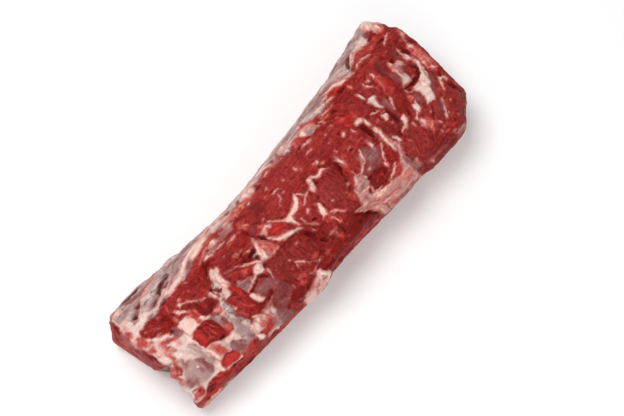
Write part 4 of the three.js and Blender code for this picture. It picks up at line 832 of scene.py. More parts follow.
def spot_depth(points, spot):
    """How deep each point lies inside a turned, uneven oval."""
    u, v, length, width, *turns = spot
    turn = math.radians(turns[0]) if turns else 0.0
    cos, sin = math.cos(turn), math.sin(turn)
    du, dv = points[:, 0] - u, points[:, 1] - v
    side = np.arctan2(dv, du)
    reach = np.hypot((du * cos + dv * sin) / length, (dv * cos - du * sin) / width)
    lobes = 1 + SPOT_LOBES * (np.sin(2 * side + u) + np.sin(3 * side + v))
    return (lobes - reach) * min(length, width)


def patch_depth(points, outline):
    """How deep each point lies inside a closed outline, negative outside."""
    corners = np.array(outline, float)
    ends = np.roll(corners, -1, axis=0)
    distance = np.min([segment_place(points, a, b)[1] for a, b in zip(corners, ends)], axis=0)
    inside = np.zeros(len(points), bool)
    for (au, av), (bu, bv) in zip(corners, ends):
        crosses = (av > points[:, 1]) != (bv > points[:, 1])
        slope = (bu - au) / (bv - av) if bv != av else 0.0
        inside ^= crosses & (points[:, 0] < au + (points[:, 1] - av) * slope)
    return np.where(inside, distance, -distance)


def points_near(plan, corners, margin):
    """The points of the plan within a margin of the box round some corners."""
    corners = np.array(corners, float)
    low, high = corners.min(axis=0) - margin, corners.max(axis=0) + margin
    return np.flatnonzero(np.all((plan > low) & (plan < high), axis=1))


def tissue_field(plan, lines=(), spots=(), patches=()):
    """How deep each point lies inside a tissue, in mm, as far as fields are told."""
    field = np.full(len(plan), -FIELD_LIMIT)

    def draw(corners, margin, depth_of, feature):
        near = points_near(plan, corners, margin)
        if len(near):
            field[near] = np.maximum(field[near], depth_of(plan[near], feature))

    for line in lines:
        draw(line[1:], line[0] + FIELD_LIMIT, line_depth, line)
    for spot in spots:
        halves = spot[2:4]
        draw([spot[:2]], max(halves) * (1 + FIELD_LIMIT / min(halves)), spot_depth, spot)
    for patch in patches:
        draw(patch, FIELD_LIMIT, patch_depth, patch)
    return np.clip(field, -FIELD_LIMIT, FIELD_LIMIT)


def new_object(name, data):
    """A new object of the scene for a mesh, a light or a camera."""
    made = bpy.data.objects.new(name, data)
    bpy.context.scene.collection.objects.link(made)
    return made


def evaluated_mesh(piece):
    """The mesh of an object with its modifiers applied."""
    graph = bpy.context.evaluated_depsgraph_get()
    return bpy.data.meshes.new_from_object(piece.evaluated_get(graph))


def read_rows(items, name, width, kind=float):
    """A named property of a mesh's items, as rows of numbers."""
    flat = np.empty(len(items) * width, kind)
    items.foreach_get(name, flat)
    return flat.reshape(-1, width)


def points_of(mesh):
    """The mesh's points in millimetres."""
    return read_rows(mesh.vertices, "co", 3) / MM


def normals_of(mesh):
    """The direction that the skin faces at each point."""
    return read_rows(mesh.vertex_normals, "vector", 3)


def edges_of(mesh):
    """The two points of each edge, as row numbers."""
    return read_rows(mesh.edges, "vertices", 2, np.int64)


def set_points(mesh, points):
    """Moves the mesh's points to these places in millimetres."""
    mesh.vertices.foreach_set("co", (points * MM).ravel())
    mesh.update()


def spread(values, edges, rounds):
    """Values averaged with their neighbours' along the edges, a few times over."""
    count = len(values)
    a, b = edges.T
    degree = np.bincount(edges.ravel(), minlength=count)
    values = values.astype(float)
    columns = values.reshape(count, -1)
    for _ in range(rounds):
        sums = np.stack([
            np.bincount(a, column[b], count) + np.bincount(b, column[a], count)
            for column in columns.T
        ], axis=1)
        columns = 0.5 * columns + 0.5 * sums / degree[:, None]
    return columns.reshape(values.shape)


# The skin: its grid, and how often it is smoothed. What that takes from the edges is spread a little, and
# this share of it comes back.
VOXEL = 1.25
SMOOTHING_ROUNDS = 7
EDGE_ROUNDS = 1
EDGE_KEEP = 0.8
# What counts as the underside, by how far it faces down, and the share of its faces that is kept
UNDERSIDE_FACING = 0.35
UNDERSIDE_KEEP = 0.62


def even_mesh():
    """A fine even mesh over the solid, with its facets smoothed away and its edges kept."""
    rough = new_object("striploin_rough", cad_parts["striploin"].data.copy())
    remesh = rough.modifiers.new("remesh", "REMESH")
    remesh.mode = "VOXEL"
    remesh.voxel_size = VOXEL * MM
    mesh = evaluated_mesh(rough)
    bpy.data.objects.remove(rough)
    sharp, edges = points_of(mesh), edges_of(mesh)
    set_points(mesh, spread(sharp, edges, SMOOTHING_ROUNDS))
    smooth, normals = points_of(mesh), normals_of(mesh)
    lost = np.sum((sharp - smooth) * normals, axis=1).clip(0)
    set_points(mesh, smooth + normals * spread(lost, edges, EDGE_ROUNDS)[:, None] * EDGE_KEEP)
    return mesh


def fine_skin():
    """The piece that replaces the solid: an even mesh, with fewer faces on its underside."""
    mesh = even_mesh()
    piece = new_object("striploin_meat", mesh)
    below = np.flatnonzero(normals_of(mesh)[:, 2] < -UNDERSIDE_FACING)
    group = piece.vertex_groups.new(name="underside")
    group.add(below.tolist(), 1.0, "REPLACE")
    thin = piece.modifiers.new("thin", "DECIMATE")
    thin.ratio = UNDERSIDE_KEEP
    thin.vertex_group = group.name
    mesh = evaluated_mesh(piece)
    piece.modifiers.clear()
    piece.vertex_groups.clear()
    piece.data = mesh
    mesh.name = piece.name
    return piece


def plan_of(points):
    """Where the camera's ray through each point meets the plan."""
    reach = (PLAN_LEVEL - CAMERA_PLACE[2]) / (points[:, 2] - CAMERA_PLACE[2])
    hit = CAMERA_PLACE + (points - CAMERA_PLACE) * reach[:, None]
    return hit[:, :2] + PLAN_OFFSET


# How far the drawn outlines wander, as sizes and amounts, and the first seed along the loin and across it
WARPS = [(9.0, 1.3), (3.4, 0.9), (1.7, 0.4)]
WARP_SEEDS = (11, 23)


def warped(plan, points):
    """The plan with its outlines made uneven, as flesh is."""
    bent = plan.copy()
    for step, (size, amount) in enumerate(WARPS):
        for axis, seed in enumerate(WARP_SEEDS):
            bent[:, axis] += amount * noise(points, size, seed + step)
    return bent


# Short strokes strewn over the bone side: how many of each tissue, and their length and radius
STRAY_STROKES = {
    "pale": (120, 3.2, 0.32),
    "pink": (200, 4.2, 0.5),
    # Dark strokes: painted shade of small slits
    "dark": (80, 4.6, 0.4),
    # Wine strokes: painted soft shade
    "wine": (160, 9.0, 1.0),
    "red": (130, 6.0, 0.8),
}
STRAY_ALONG, STRAY_ACROSS = (-232, 215), (-84, 38)
# The turn of the strokes on the chine half, how much any turn varies, and how the rest of a stroke does
STRAY_TURN = math.radians(70)
STRAY_TURN_SPREAD = 0.5
STRAY_LENGTHS = (0.3, 1.0)
STRAY_BEND_SPREAD = 0.3
STRAY_RADII = (0.6, 1.3)


def stray_strokes(count, length, radius, seed):
    """Short strokes, along the loin on its flank half and across it on its chine half."""
    chance = np.random.default_rng(seed)
    strokes = []
    for _ in range(count):
        u = chance.uniform(*STRAY_ALONG)
        v = chance.uniform(*STRAY_ACROSS)
        angle = (0.0 if v > 0 else STRAY_TURN) + chance.normal(0, STRAY_TURN_SPREAD)
        half = length * chance.uniform(*STRAY_LENGTHS) / 2
        bend = chance.normal(0, STRAY_BEND_SPREAD) * half
        du, dv = half * math.cos(angle), half * math.sin(angle)
        middle = (u - bend * math.sin(angle), v + bend * math.cos(angle))
        width = radius * chance.uniform(*STRAY_RADII)
        strokes.append((width, (u - du, v - dv), middle, (u + du, v + dv)))
    return strokes


def muscle_blocks(plan):
    """Tone, dullness, turn of the fibres, and depth inside the block that each point is in."""
    looks = np.tile((OPEN_TONE, OPEN_DULLNESS, 0.0), (len(plan), 1))
    depth = np.full(len(plan), -FIELD_LIMIT)
    for *look, outline in MUSCLE_BLOCKS:
        near = points_near(plan, outline, FIELD_LIMIT)
        inside = patch_depth(plan[near], outline)
        deeper = inside > depth[near]
        depth[near[deeper]] = inside[deeper]
        looks[near[deeper & (inside > 0)]] = look
    return (*looks.T, depth)


# Where the skin counts as flank, as a cut face and as underside, by how far it faces that way
FLANK_FACING = (0.1, 0.6)
FACE_FACING = (0.55, 0.8)
UNDER_FACING = (0.2, 0.6)
# The fat cap: how high its edge stands on the chine side, on the flank and on the cut faces, how much
# thicker it is there towards the flank, how its edge waves, and how deep it is underneath
CAP_EDGE = 5.0
CAP_EDGE_FLANK = 17.0
CAP_FACE = 8.0
CAP_FACE_MORE = 8.0
CAP_FACE_MORE_ACROSS = (20, 60)
CAP_EDGE_WAVE = 2.5
CAP_FACE_WAVE = 0.6
CAP_UNDER = 3.0
# The cap's lowest rim, which shows all round
CAP_RIM = 3.2
CAP_RIM_WAVE = 1.4
# On the flank: how deep a tissue is, less what, and how uneven. On the underside: how patchy, and less what
FLANK_TISSUES = {"silver": (4.0, 2.0, 1.0), "pale": (3.0, 2.6, 2.2)}
UNDER_TISSUES = {"pink": (3.0, 1.9), "mauve": (3.2, 2.9)}
# Lines and flecks of fat in the cut faces, with places across the loin and up, and how far they bend
EYE_SEAMS = [
    (0.8, (-64, 20), (-57, 21), (-50, 25), (-45, 31), (-42, 39), (-42, 47), (-45, 55), (-51, 62)),
    (0.5, (-45, 31), (-39, 29), (-33, 28.5), (-28, 30)),
    (0.9, (16, 8), (24, 12), (31, 18), (37, 25), (42, 33), (48, 39), (56, 43), (65, 44), (73, 42)),
    (0.5, (42, 33), (44, 26), (49, 21), (56, 18)), (0.6, (56, 43), (60, 49), (62, 55)),
]
EYE_FLECKS = [
    (-28, 47, 3.2, 0.6, 24), (-18, 33, 2.4, 0.5, -12), (-10, 52, 3.6, 0.55, 8), (-2, 24, 2.8, 0.5, 30),
    (6, 40, 2.2, 0.6, -35), (12, 56, 3, 0.5, 12), (20, 30, 2.4, 0.5, 50), (24, 48, 3.4, 0.6, -18),
    (-34, 20, 2.6, 0.5, 15), (33, 40, 2, 0.5, 60), (52, 30, 2.6, 0.6, -8), (-55, 42, 2.2, 0.6, 70),
    (-12, 40, 1.6, 0.5, 80), (60, 34, 2.2, 0.5, 20), (38, 56, 2.6, 0.5, -25), (-22, 58, 2.4, 0.5, 5),
]
SEAM_BEND = 2.4
SEAM_RIPPLE = 0.5


def cap_edge(points, on_flank, on_face):
    """How high the edge of the fat cap stands at each point."""
    wave = skin_noise(points, "cap edge") * CAP_EDGE_WAVE + skin_noise(points, "cap edge ripple")
    side = CAP_EDGE + (CAP_EDGE_FLANK - CAP_EDGE) * on_flank * (1 - on_face) + wave
    face = CAP_FACE + CAP_FACE_MORE * smoothstep(points[:, 1], *CAP_FACE_MORE_ACROSS) + CAP_FACE_WAVE * wave
    return side * (1 - on_face) + on_face * face


def face_seams(points):
    """The fat in the cut faces."""
    across = skin_noise(points, "seam across") + SEAM_RIPPLE * skin_noise(points, "seam across ripple")
    bend = np.stack([across, skin_noise(points, "seam up")], axis=1)
    return tissue_field(points[:, 1:] + bend * SEAM_BEND, EYE_SEAMS, EYE_FLECKS)


def hidden_fields(points, normals):
    """The tissues on the cut faces, the flank and the underside, which the photograph hides."""
    on_flank = smoothstep(normals[:, 1], *FLANK_FACING)
    on_face = smoothstep(np.abs(normals[:, 0]), *FACE_FACING)
    below = smoothstep(-normals[:, 2], *UNDER_FACING)
    fat = np.clip(cap_edge(points, on_flank, on_face) - points[:, 2], -FIELD_LIMIT, FIELD_LIMIT)
    fat = fat * (1 - below) + below * CAP_UNDER
    found = {"fat": np.where(on_face > 0.5, np.maximum(fat, face_seams(points)), fat)}
    for name, (depth, less, unevenness) in FLANK_TISSUES.items():
        found[name] = on_flank * (1 - on_face) * depth - less + unevenness * skin_noise(points, name)
    for name, (patchiness, less) in UNDER_TISSUES.items():
        patches = skin_noise(points, name) * patchiness + skin_noise(points, name + " ripple")
        found[name] = below * patches - less
    nothing = np.full(len(points), -FIELD_LIMIT)
    return {name: found.get(name, nothing) for name in TISSUES}


# How far the skin has to face the camera to be drawn on, and then fully
SEEN_FACING = (0.03, 0.16)


def seen_share(points, normals):
    """How much of what is drawn shows at each point, from 0 to 1."""
    to_camera = CAMERA_PLACE - points
    to_camera /= np.linalg.norm(to_camera, axis=1)[:, None]
    return smoothstep(np.sum(normals * to_camera, axis=1), *SEEN_FACING)


def covering(fields):
    """How deep each point lies under tissue that hides the muscle."""
    covered = np.maximum.reduce([fields[name] for name in COVERS])
    return np.minimum(covered, -fields["flesh"])


def tissue_fields(points, normals, plan, seen):
    """The field of every tissue: as drawn where the camera sees it, and as is usual elsewhere."""
    hidden = hidden_fields(points, normals)
    fields = {}
    for name, features in TISSUES.items():
        field = np.where(seen > 0, tissue_field(plan, *features), -FIELD_LIMIT)
        fields[name] = field * seen + hidden[name] * (1 - seen)
    bare = -covering(fields)
    for seed, (name, kind) in enumerate(STRAY_STROKES.items()):
        strokes = tissue_field(plan, stray_strokes(*kind, seed))
        strokes = np.where(seen > 0, np.minimum(strokes, bare), -FIELD_LIMIT)
        fields[name] = np.maximum(fields[name], strokes)
    rim = CAP_RIM + CAP_RIM_WAVE * skin_noise(points, "cap rim") - points[:, 2]
    fields["fat"] = np.maximum(fields["fat"], np.clip(rim, -FIELD_LIMIT, FIELD_LIMIT))
    return fields


# How high a tissue stands on the skin, or how low it lies, and between which depths of its field
RISES = {
    "fat": (0.9, -0.8, 2.4),
    "pale": (0.9, -0.8, 2.0),
    "silver": (0.35, -0.5, 1.5),
    "red": (0.7, -0.5, 2.5),
    "dark": (-1.9, -1.2, 2.0),
}
# The swelling of a muscle block, how fast it rises, and how much of it is left under fat
PILLOW_HEIGHT, PILLOW_RISE, PILLOW_UNDER_FAT = 1.3, 2.6, 0.4
# The valley along its outline
VALLEY_DEPTH, VALLEY_WIDTH = 0.7, 1.3
# The bundles of fibres on bare muscle: their height, their size, how long they are for it, and their seed
BUNDLE_HEIGHT, BUNDLE_SIZE, BUNDLE_STRETCH, BUNDLE_SEED = 0.42, 2.6, 6, 61
BARE_DEPTHS = (-0.5, 1.0)
# The lumps all over, and those of the fat cap where the skin faces down
LUMPS = {"lumps": 0.5, "small lumps": 0.4, "knobs": 0.18}
CAP_LUMPS = 0.9
CAP_LUMPS_FACING = (0.1, 0.5)
# The folds of the membrane and the tan film
FOLD_HEIGHT = 0.7
FOLD_DEPTHS = (0, 2)
# The relief starts above the surface that the meat rests on
RELIEF_START = (0.0, 5.0)
# The notch in the near end, on the plan
NOTCH = (-229.0, -24.0)
NOTCH_DEPTH, NOTCH_RADIUS = 3.2, 3.4


def rise(fields, name):
    """The height of a tissue over the skin."""
    height, low, high = RISES[name]
    return height * smoothstep(fields[name], low, high)


def bundle_relief(points, fibres, fields):
    """The height of the bundles of fibres."""
    along, across = fibres
    places = np.stack([along / BUNDLE_STRETCH, across, points[:, 2]], axis=1)
    bare = 1 - smoothstep(covering(fields), *BARE_DEPTHS)
    return noise(places, BUNDLE_SIZE, BUNDLE_SEED) * BUNDLE_HEIGHT * bare


def relief(points, normals, plan, seen, fields, depth, fibres):
    """The height of the fine relief over the smooth skin."""
    pillow = PILLOW_HEIGHT * (1 - np.exp(-np.clip(depth, 0, None) / PILLOW_RISE)) * seen
    valley = -VALLEY_DEPTH * np.exp(-(depth / VALLEY_WIDTH) ** 2) * seen
    bead = rise(fields, "fat") * seen
    height = np.maximum(pillow + valley, PILLOW_UNDER_FAT * pillow + bead)
    height += rise(fields, "pale") + rise(fields, "silver")
    height += rise(fields, "red") * seen
    height += rise(fields, "dark")
    height += bundle_relief(points, fibres, fields)
    height += sum(share * skin_noise(points, name) for name, share in LUMPS.items())
    height += CAP_LUMPS * skin_noise(points, "cap lumps") * smoothstep(-normals[:, 2], *CAP_LUMPS_FACING)
    film = smoothstep(np.maximum(fields["silver"], fields["tan"]), *FOLD_DEPTHS)
    folds = FOLD_HEIGHT * skin_noise(points, "folds") * film
    notch = np.exp(-np.sum((plan - NOTCH) ** 2, axis=1) / NOTCH_RADIUS ** 2)
    height += folds - NOTCH_DEPTH * notch * seen
    return height * smoothstep(points[:, 2], *RELIEF_START)


# Where the outline has corners that the solid rounds off: place on the plan, radius, and the way moved
CORNERS = [
    (-239, 36, 8, -2.6, 1.4), (-236, -15, 4, -1.6, 0), (-231, -23.5, 3.2, 3, 0),
    (-229.5, -32.5, 4.2, -3.2, 0), (-235, -57, 3.5, 1.8, 0), (-237.5, -67, 3.5, -1.6, 0),
    (-237, -78, 4, -2.6, -0.8), (-221, 56, 4, -0.6, 1.6), (191, -84, 12, -3.2, 2.4), (189, 71, 7, 0, -2.4),
    (210, 71, 6.5, 2.2, 2.8), (-128, 50, 8, 0, -1.9), (-104, 47.5, 7, 0, -1.3), (16, 48, 10, 0, -1.7),
    (64, 51, 7, 0, -1.3), (222, -12, 6, -1.8, 0), (217, 64.5, 3.6, -2.6, 0), (226.5, 31, 8, 1.5, 0),
    (226, 41.5, 2.6, 1.6, 0), (224.5, 46.5, 3, -1.9, 0), (226, 14, 5, 1.2, 0),
]


def corner_moves(plan):
    """How far each point moves along and across the loin to give the outline its corners."""
    moves = np.zeros((len(plan), 2))
    for u, v, radius, along, across in CORNERS:
        near = np.exp(-np.sum((plan - (u, v)) ** 2, axis=1) / radius ** 2)
        moves += near[:, None] * (along, across)
    return moves


# What counts as a cut face, where the fibres are drawn across the loin
CUT_FACING = 0.7
CUT_TURN = 90.0
# How often the blocks' looks are spread over their outlines, and the relief that the painted shade of
# hollows and the painted highlight of ridges are told from
LOOK_ROUNDS = 3
RELIEF_SHADING_ROUNDS = 10


def fibre_places(points, turn):
    """Each point's place along the fibres, and across them."""
    angle = np.radians(turn)
    along = points[:, 0] * np.cos(angle) + points[:, 1] * np.sin(angle)
    across = points[:, 1] * np.cos(angle) - points[:, 0] * np.sin(angle)
    return along, across


def store(mesh, name, values):
    """Three numbers for each point of a mesh, which its material reads by name."""
    attribute = mesh.attributes.new(name, "FLOAT_VECTOR", "POINT")
    attribute.data.foreach_set("vector", np.stack(values, axis=1).astype(np.float32).ravel())


def dress_skin(mesh):
    """Shapes the fine skin and stores the tissues on it, and the painted shade and highlight of its relief.
    """
    points, normals, edges = points_of(mesh), normals_of(mesh), edges_of(mesh)
    seen = seen_share(points, normals)
    true_plan = plan_of(points)
    plan = warped(true_plan, points)
    fields = tissue_fields(points, normals, plan, seen)
    tone, dull, turn, depth = muscle_blocks(plan)
    tone = OPEN_TONE + (tone - OPEN_TONE) * seen
    turn = turn * (seen > 0.5)
    turn[np.abs(normals[:, 0]) > CUT_FACING] = CUT_TURN
    fibres = fibre_places(points, turn)
    height = relief(points, normals, plan, seen, fields, depth, fibres)
    moved = points + normals * height[:, None]
    moved[:, :2] += corner_moves(true_plan)
    moved[:, 2] = np.maximum(moved[:, 2], 0)
    set_points(mesh, moved)
    for name, members in FIELD_GROUPS.items():
        store(mesh, name, [fields[member] for member in members])
    # Painted shade and highlight: the relief less its smoothed self, below zero in the hollows and above it
    # on the ridges
    relief_shading = height - spread(height, edges, RELIEF_SHADING_ROUNDS)
    store(mesh, "muscle", (spread(tone, edges, LOOK_ROUNDS), relief_shading, spread(dull, edges, LOOK_ROUNDS)))
    store(mesh, "grain", (*fibres, points[:, 2]))
    mesh.polygons.foreach_set("use_smooth", np.ones(len(mesh.polygons), bool))


class Graph:
    """A short way to write a material's nodes."""

    def __init__(self, name):
        self.material = bpy.data.materials.new(name)
        self.material.use_nodes = True
        self.nodes = self.material.node_tree.nodes
        self.links = self.material.node_tree.links
        self.shader = self.nodes["Principled BSDF"]

    def put(self, socket, value):
        """Gives a socket a link or a plain value."""
        if isinstance(value, bpy.types.NodeSocket):
            self.links.new(value, socket)
        else:
            socket.default_value = value

    def node(self, kind, **settings):
        """A new node of a kind, with its settings."""
        made = self.nodes.new(kind)
        for name, value in settings.items():
            setattr(made, name, value)
        return made

    def attribute(self, name):
        """The three stored numbers of a name, as a vector and each as a socket."""
        node = self.node("ShaderNodeAttribute", attribute_name=name)
        split = self.node("ShaderNodeSeparateXYZ")
        self.links.new(node.outputs["Vector"], split.inputs[0])
        return node.outputs["Vector"], split.outputs

    def math(self, operation, *values):
        """One step of arithmetic on sockets or numbers."""
        node = self.node("ShaderNodeMath", operation=operation)
        for socket, value in zip(node.inputs, values):
            self.put(socket, value)
        return node.outputs[0]

    def add(self, a, b):
        """The sum of two sockets or numbers."""
        return self.math("ADD", a, b)

    def times(self, a, b):
        """The product of two sockets or numbers."""
        return self.math("MULTIPLY", a, b)

    def blend(self, sockets, shares):
        """Some of the named sockets added up, each by its share."""
        parts = [self.times(sockets[name], share) for name, share in shares.items()]
        return functools.reduce(self.add, parts)

    def noise(self, vector, scale, detail):
        """Noise from -1 to 1, or nearly."""
        node = self.node("ShaderNodeTexNoise")
        node.inputs["Scale"].default_value = scale
        node.inputs["Detail"].default_value = detail
        self.links.new(vector, node.inputs["Vector"])
        return self.math("MULTIPLY_ADD", node.outputs["Fac"], 2.0, -1.0)

    def stretched(self, vector, paces):
        """A place that noise reads, made to change faster or slower along each axis."""
        node = self.node("ShaderNodeVectorMath", operation="MULTIPLY")
        self.links.new(vector, node.inputs[0])
        node.inputs[1].default_value = paces
        return node.outputs[0]

    def step(self, value, low, high, to_low=0.0, to_high=1.0):
        """A smooth step of a value, from one level to another."""
        node = self.node("ShaderNodeMapRange", interpolation_type="SMOOTHSTEP")
        for socket, number in zip(node.inputs, (value, low, high, to_low, to_high)):
            self.put(socket, number)
        return node.outputs["Result"]

    def mix(self, share, a, b):
        """The colour b over the colour a, by its share."""
        node = self.node("ShaderNodeMix", data_type="RGBA")
        self.put(node.inputs["Factor"], share)
        self.put(node.inputs[6], a)
        self.put(node.inputs[7], b)
        return node.outputs[2]

    def ramp(self, value, colours):
        """A colour between evenly spaced ones, by a value from 0 to 1."""
        node = self.node("ShaderNodeValToRGB")
        elements = node.color_ramp.elements
        while len(elements) < len(colours):
            elements.new(0.5)
        for index, (element, tint) in enumerate(zip(elements, colours)):
            element.position = index / (len(colours) - 1)
            element.color = colour(*tint)
        self.links.new(value, node.inputs[0])
        return node.outputs[0]


def colour(red, green, blue):
    """A colour given as the screen shows it, 0 to 255, as the renderer wants it."""
    def linear(value):
        value /= 255
        return value / 12.92 if value <= 0.04045 else ((value + 0.055) / 1.055) ** 2.4
    return (linear(red), linear(green), linear(blue), 1.0)


# Bare muscle from its darkest tone to its brightest, moist and dull
MUSCLE_TONES = [(80, 4, 4), (112, 14, 12), (140, 30, 27), (163, 42, 38), (188, 58, 52)]
DULL_TONES = [(88, 22, 20), (114, 32, 30), (140, 48, 45), (160, 64, 60), (184, 86, 80)]
# Each tissue over the muscle: its colours at the edge, inside and at the core, how deep the core is, how
# mottled it is, how soft and how ragged its edge is, and how much it hides. Flesh is the muscle itself.
LAYERS = {
    "silver": ((122, 84, 85), (158, 134, 131), (204, 192, 186), 4.0, 3.8, 1.3, 1.6, 0.95),
    "pale": ((188, 142, 134), (208, 176, 166), (224, 204, 194), 3.0, 1.7, 1.3, 1.8, 0.93),
    "tan": ((152, 84, 79), (176, 116, 108), (202, 154, 143), 4.6, 3.4, 1.6, 2.0, 0.92),
    "film": ((166, 130, 126), (150, 116, 114), (136, 102, 101), 3.0, 2.4, 2.8, 1.8, 0.8),
    "mauve": ((126, 58, 57), (122, 66, 65), (146, 98, 95), 5.0, 2.8, 2.4, 2.4, 0.88),
    "flesh": (None, None, None, 3.0, 0.0, 1.4, 1.6, 1.0),
    # Wine: painted soft shade in the muscle
    "wine": ((116, 24, 22), (104, 18, 16), (94, 12, 11), 3.0, 1.0, 2.8, 1.4, 0.62),
    "rose": ((176, 56, 50), (190, 74, 66), (202, 100, 90), 3.0, 2.6, 2.6, 2.6, 0.62),
    "pink": ((158, 52, 48), (184, 86, 78), (212, 136, 124), 2.6, 1.8, 1.4, 2.0, 0.8),
    "fat": ((202, 140, 128), (220, 182, 170), (232, 208, 197), 2.8, 1.4, 1.3, 1.7, 0.93),
    "red": ((142, 26, 23), (158, 32, 28), (180, 50, 44), 3.0, 2.2, 1.9, 2.2, 0.84),
    # Dark: painted shade in the slits and hollows
    "dark": ((98, 12, 10), (78, 6, 5), (60, 3, 3), 2.2, 0.8, 1.2, 1.1, 0.9),
}
# A tissue's colour goes no deeper than this share of its core before it is mottled
CORE_SHARE = 0.7
# How much of a pink halo lies round a tissue, between which depths it comes up, and how ragged it is
HALOS = {"pale": 0.3, "fat": 0.42}
HALO_COLOUR = (178, 84, 77)
HALO_DEPTHS = (-3.4, 0.6)
HALO_RAGGEDNESS = 3.0

# The noises of the material: in space, with size and detail, and along the fibres, with the paces along
# and across them, scale and detail
SPACE_NOISES = {"broad": (22, 2), "patchy": (5, 3), "fine": (1.9, 3), "fleck": (2.6, 2)}
FIBRE_NOISES = {
    "streak": (0.05, 0.5, 1.0, 3),
    "marbling": (0.25, 0.7, 0.8, 3),
    "sheet": (0.025, 0.28, 1.0, 4),
}
# How much of each noise goes into the tone of the muscle, the tissues' edges, their mottling and the bumps
TONE_SHARES = {"broad": 0.16, "patchy": 0.26, "streak": 0.36, "fine": 0.34}
# How far the relief darkens the muscle in its hollows and lightens it on its ridges: painted shade and
# painted highlight
RELIEF_SHADING_SHARE = 0.34
RAGGED_SHARES = {"patchy": 0.7, "streak": 0.5, "fine": 0.45}
MOTTLING_SHARES = {"sheet": 1.1, "patchy": 0.5, "streak": 0.3, "fine": 0.8}
BUMP_SHARES = {"streak": 0.22, "fine": 0.28, "patchy": 0.25}
# Marks in the muscle: colour, the levels of noise between which they come up, and how much they hide
MUSCLE_MARKS = {"fleck": ((196, 104, 94), 0.12, 0.62, 0.24), "marbling": ((205, 128, 116), 0.42, 0.62, 0.45)}

# The wet surface
ROUGHNESS = (0.40, 0.58)
BUMP_STRENGTH = 0.8
BUMP_HEIGHT = 0.9
WETNESS = {
    "IOR": 1.18,
    "Subsurface Weight": 0.12,
    "Subsurface Radius": (1.0, 0.35, 0.25),
    "Subsurface Scale": 2.5 * MM,
}


def material_noises(g):
    """The noises by name."""
    place = g.node("ShaderNodeTexCoord").outputs["Object"]
    fibres, _ = g.attribute("grain")
    noises = {name: g.noise(place, 1 / (size * MM), detail) for name, (size, detail) in SPACE_NOISES.items()}
    for name, (along, across, scale, detail) in FIBRE_NOISES.items():
        noises[name] = g.noise(g.stretched(fibres, (along, across, across)), scale, detail)
    return noises


def muscle_colour(g, noises):
    """Bare muscle: its tone with mottling, fibres and marbling, darker in the hollows of the relief as
    painted shade and pooled blood, and lighter on its ridges as painted highlight.
    """
    _, (tone, relief_shading, dullness) = g.attribute("muscle")
    for name, share in TONE_SHARES.items():
        tone = g.add(tone, g.times(noises[name], share))
    tone = g.add(tone, g.times(relief_shading, RELIEF_SHADING_SHARE))
    surface = g.mix(dullness, g.ramp(tone, MUSCLE_TONES), g.ramp(tone, DULL_TONES))
    for name, (tint, low, high, cover) in MUSCLE_MARKS.items():
        surface = g.mix(g.step(noises[name], low, high, 0, cover), surface, colour(*tint))
    return surface


def tissue_colour(g, depth, colours, core):
    """A tissue's own colour, from its edge to its core."""
    edge, inside, middle = (colour(*tint) for tint in colours)
    inner = g.mix(g.step(depth, 0, core / 2), edge, inside)
    return g.mix(g.step(depth, core / 2, core), inner, middle)


def surface_colour(g, noises):
    """Muscle with its halos and every tissue laid over it in order."""
    ragged, mottling = g.blend(noises, RAGGED_SHARES), g.blend(noises, MOTTLING_SHARES)
    fields = {}
    for group, members in FIELD_GROUPS.items():
        fields.update(zip(members, g.attribute(group)[1]))
    muscle = surface = muscle_colour(g, noises)
    for name, cover in HALOS.items():
        near = g.add(fields[name], g.times(ragged, HALO_RAGGEDNESS))
        surface = g.mix(g.step(near, *HALO_DEPTHS, 0, cover), surface, colour(*HALO_COLOUR))
    for name, (*colours, core, mottle, softness, raggedness, cover) in LAYERS.items():
        edge = g.add(fields[name], g.times(ragged, raggedness))
        depth = g.add(g.math("MINIMUM", fields[name], core * CORE_SHARE), g.times(mottling, mottle))
        tissue = tissue_colour(g, depth, colours, core) if colours[0] else muscle
        surface = g.mix(g.step(edge, -softness, softness, 0, cover), surface, tissue)
    return surface


def meat_material():
    """Wet raw meat: muscle, its films and fat, each by the fields stored on the skin."""
    g = Graph("raw_meat")
    noises = material_noises(g)
    g.put(g.shader.inputs["Base Color"], surface_colour(g, noises))
    g.put(g.shader.inputs["Roughness"], g.step(noises["fine"], -1, 1, *ROUGHNESS))
    for name, value in WETNESS.items():
        g.shader.inputs[name].default_value = value
    bump = g.node("ShaderNodeBump")
    bump.inputs["Strength"].default_value = BUMP_STRENGTH
    bump.inputs["Distance"].default_value = BUMP_HEIGHT * MM
    g.links.new(g.blend(noises, BUMP_SHARES), bump.inputs["Height"])
    g.links.new(bump.outputs[0], g.shader.inputs["Normal"])
    return g.material


# The studio, in metres: a pale floor, soft white surroundings, and lights with place, size and power
FLOOR_SIZE = 12.0
FLOOR_COLOUR = (236, 236, 236)
FLOOR_ROUGHNESS = 0.9
SURROUNDINGS = 0.68
LIGHTS = {
    "overhead": ((-0.3, 0.55, 1.7), 1.1, 21),
    "front": ((-0.85, -1.35, 0.6), 1.0, 9),
}


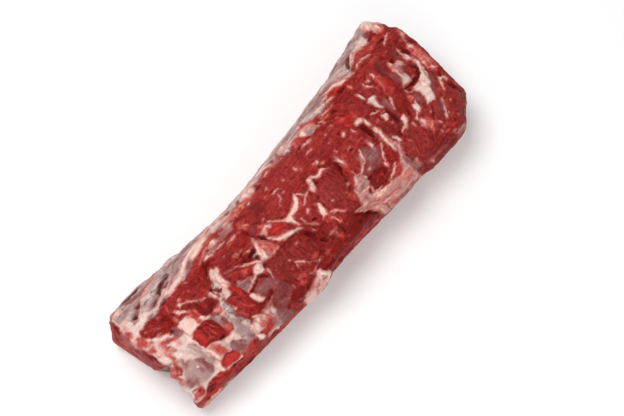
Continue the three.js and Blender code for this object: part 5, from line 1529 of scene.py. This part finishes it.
def add_floor():
    """The floor, which only sets the stage."""
    half = FLOOR_SIZE / 2
    mesh = bpy.data.meshes.new("floor")
    corners = [(-half, -half, 0), (half, -half, 0), (half, half, 0), (-half, half, 0)]
    mesh.from_pydata(corners, [], [(0, 1, 2, 3)])
    floor = new_object("floor", mesh)
    g = Graph("pale_floor")
    g.shader.inputs["Base Color"].default_value = colour(*FLOOR_COLOUR)
    g.shader.inputs["Roughness"].default_value = FLOOR_ROUGHNESS
    mesh.materials.append(g.material)


def add_light(name, place, size, power):
    """A soft square light that looks at the middle of the loin."""
    light = bpy.data.lights.new(name, "AREA")
    light.shape = "SQUARE"
    light.size = size
    light.energy = power
    lamp = new_object(name, light)
    lamp.location = place
    lamp.rotation_euler = (-Vector(place)).to_track_quat("-Z", "Y").to_euler()


def add_lights():
    """The white surroundings and the lamps."""
    world = bpy.data.worlds.new("studio")
    world.use_nodes = True
    background = world.node_tree.nodes["Background"]
    background.inputs["Color"].default_value = (1, 1, 1, 1)
    background.inputs["Strength"].default_value = SURROUNDINGS
    bpy.context.scene.world = world
    for name, settings in LIGHTS.items():
        add_light(name, *settings)
    bpy.context.scene.view_settings.view_transform = "Standard"


def add_camera():
    """A camera that stands and looks as the photograph's did."""
    camera = bpy.data.cameras.new("camera")
    camera.sensor_width = SENSOR_WIDTH
    camera.lens = SENSOR_WIDTH * PIXELS_PER_MM * DISTANCE / IMAGE_WIDTH
    camera.shift_x = (IMAGE_WIDTH / 2 - TARGET_PIXEL[0]) / IMAGE_WIDTH
    camera.shift_y = (TARGET_PIXEL[1] - IMAGE_HEIGHT / 2) / IMAGE_WIDTH
    stand = new_object("camera", camera)
    axes = Matrix(np.stack(camera_axes(), axis=1).tolist())
    stand.matrix_world = Matrix.Translation(Vector(CAMERA_PLACE) * MM) @ axes.to_4x4()
    bpy.context.scene.camera = stand


def add_meat():
    """The dressed skin, in place of the solid."""
    piece = fine_skin()
    dress_skin(piece.data)
    piece.data.materials.clear()
    piece.data.materials.append(meat_material())
    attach(piece, "root")
    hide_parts("striploin")


add_camera()
add_lights()
add_floor()
add_meat()
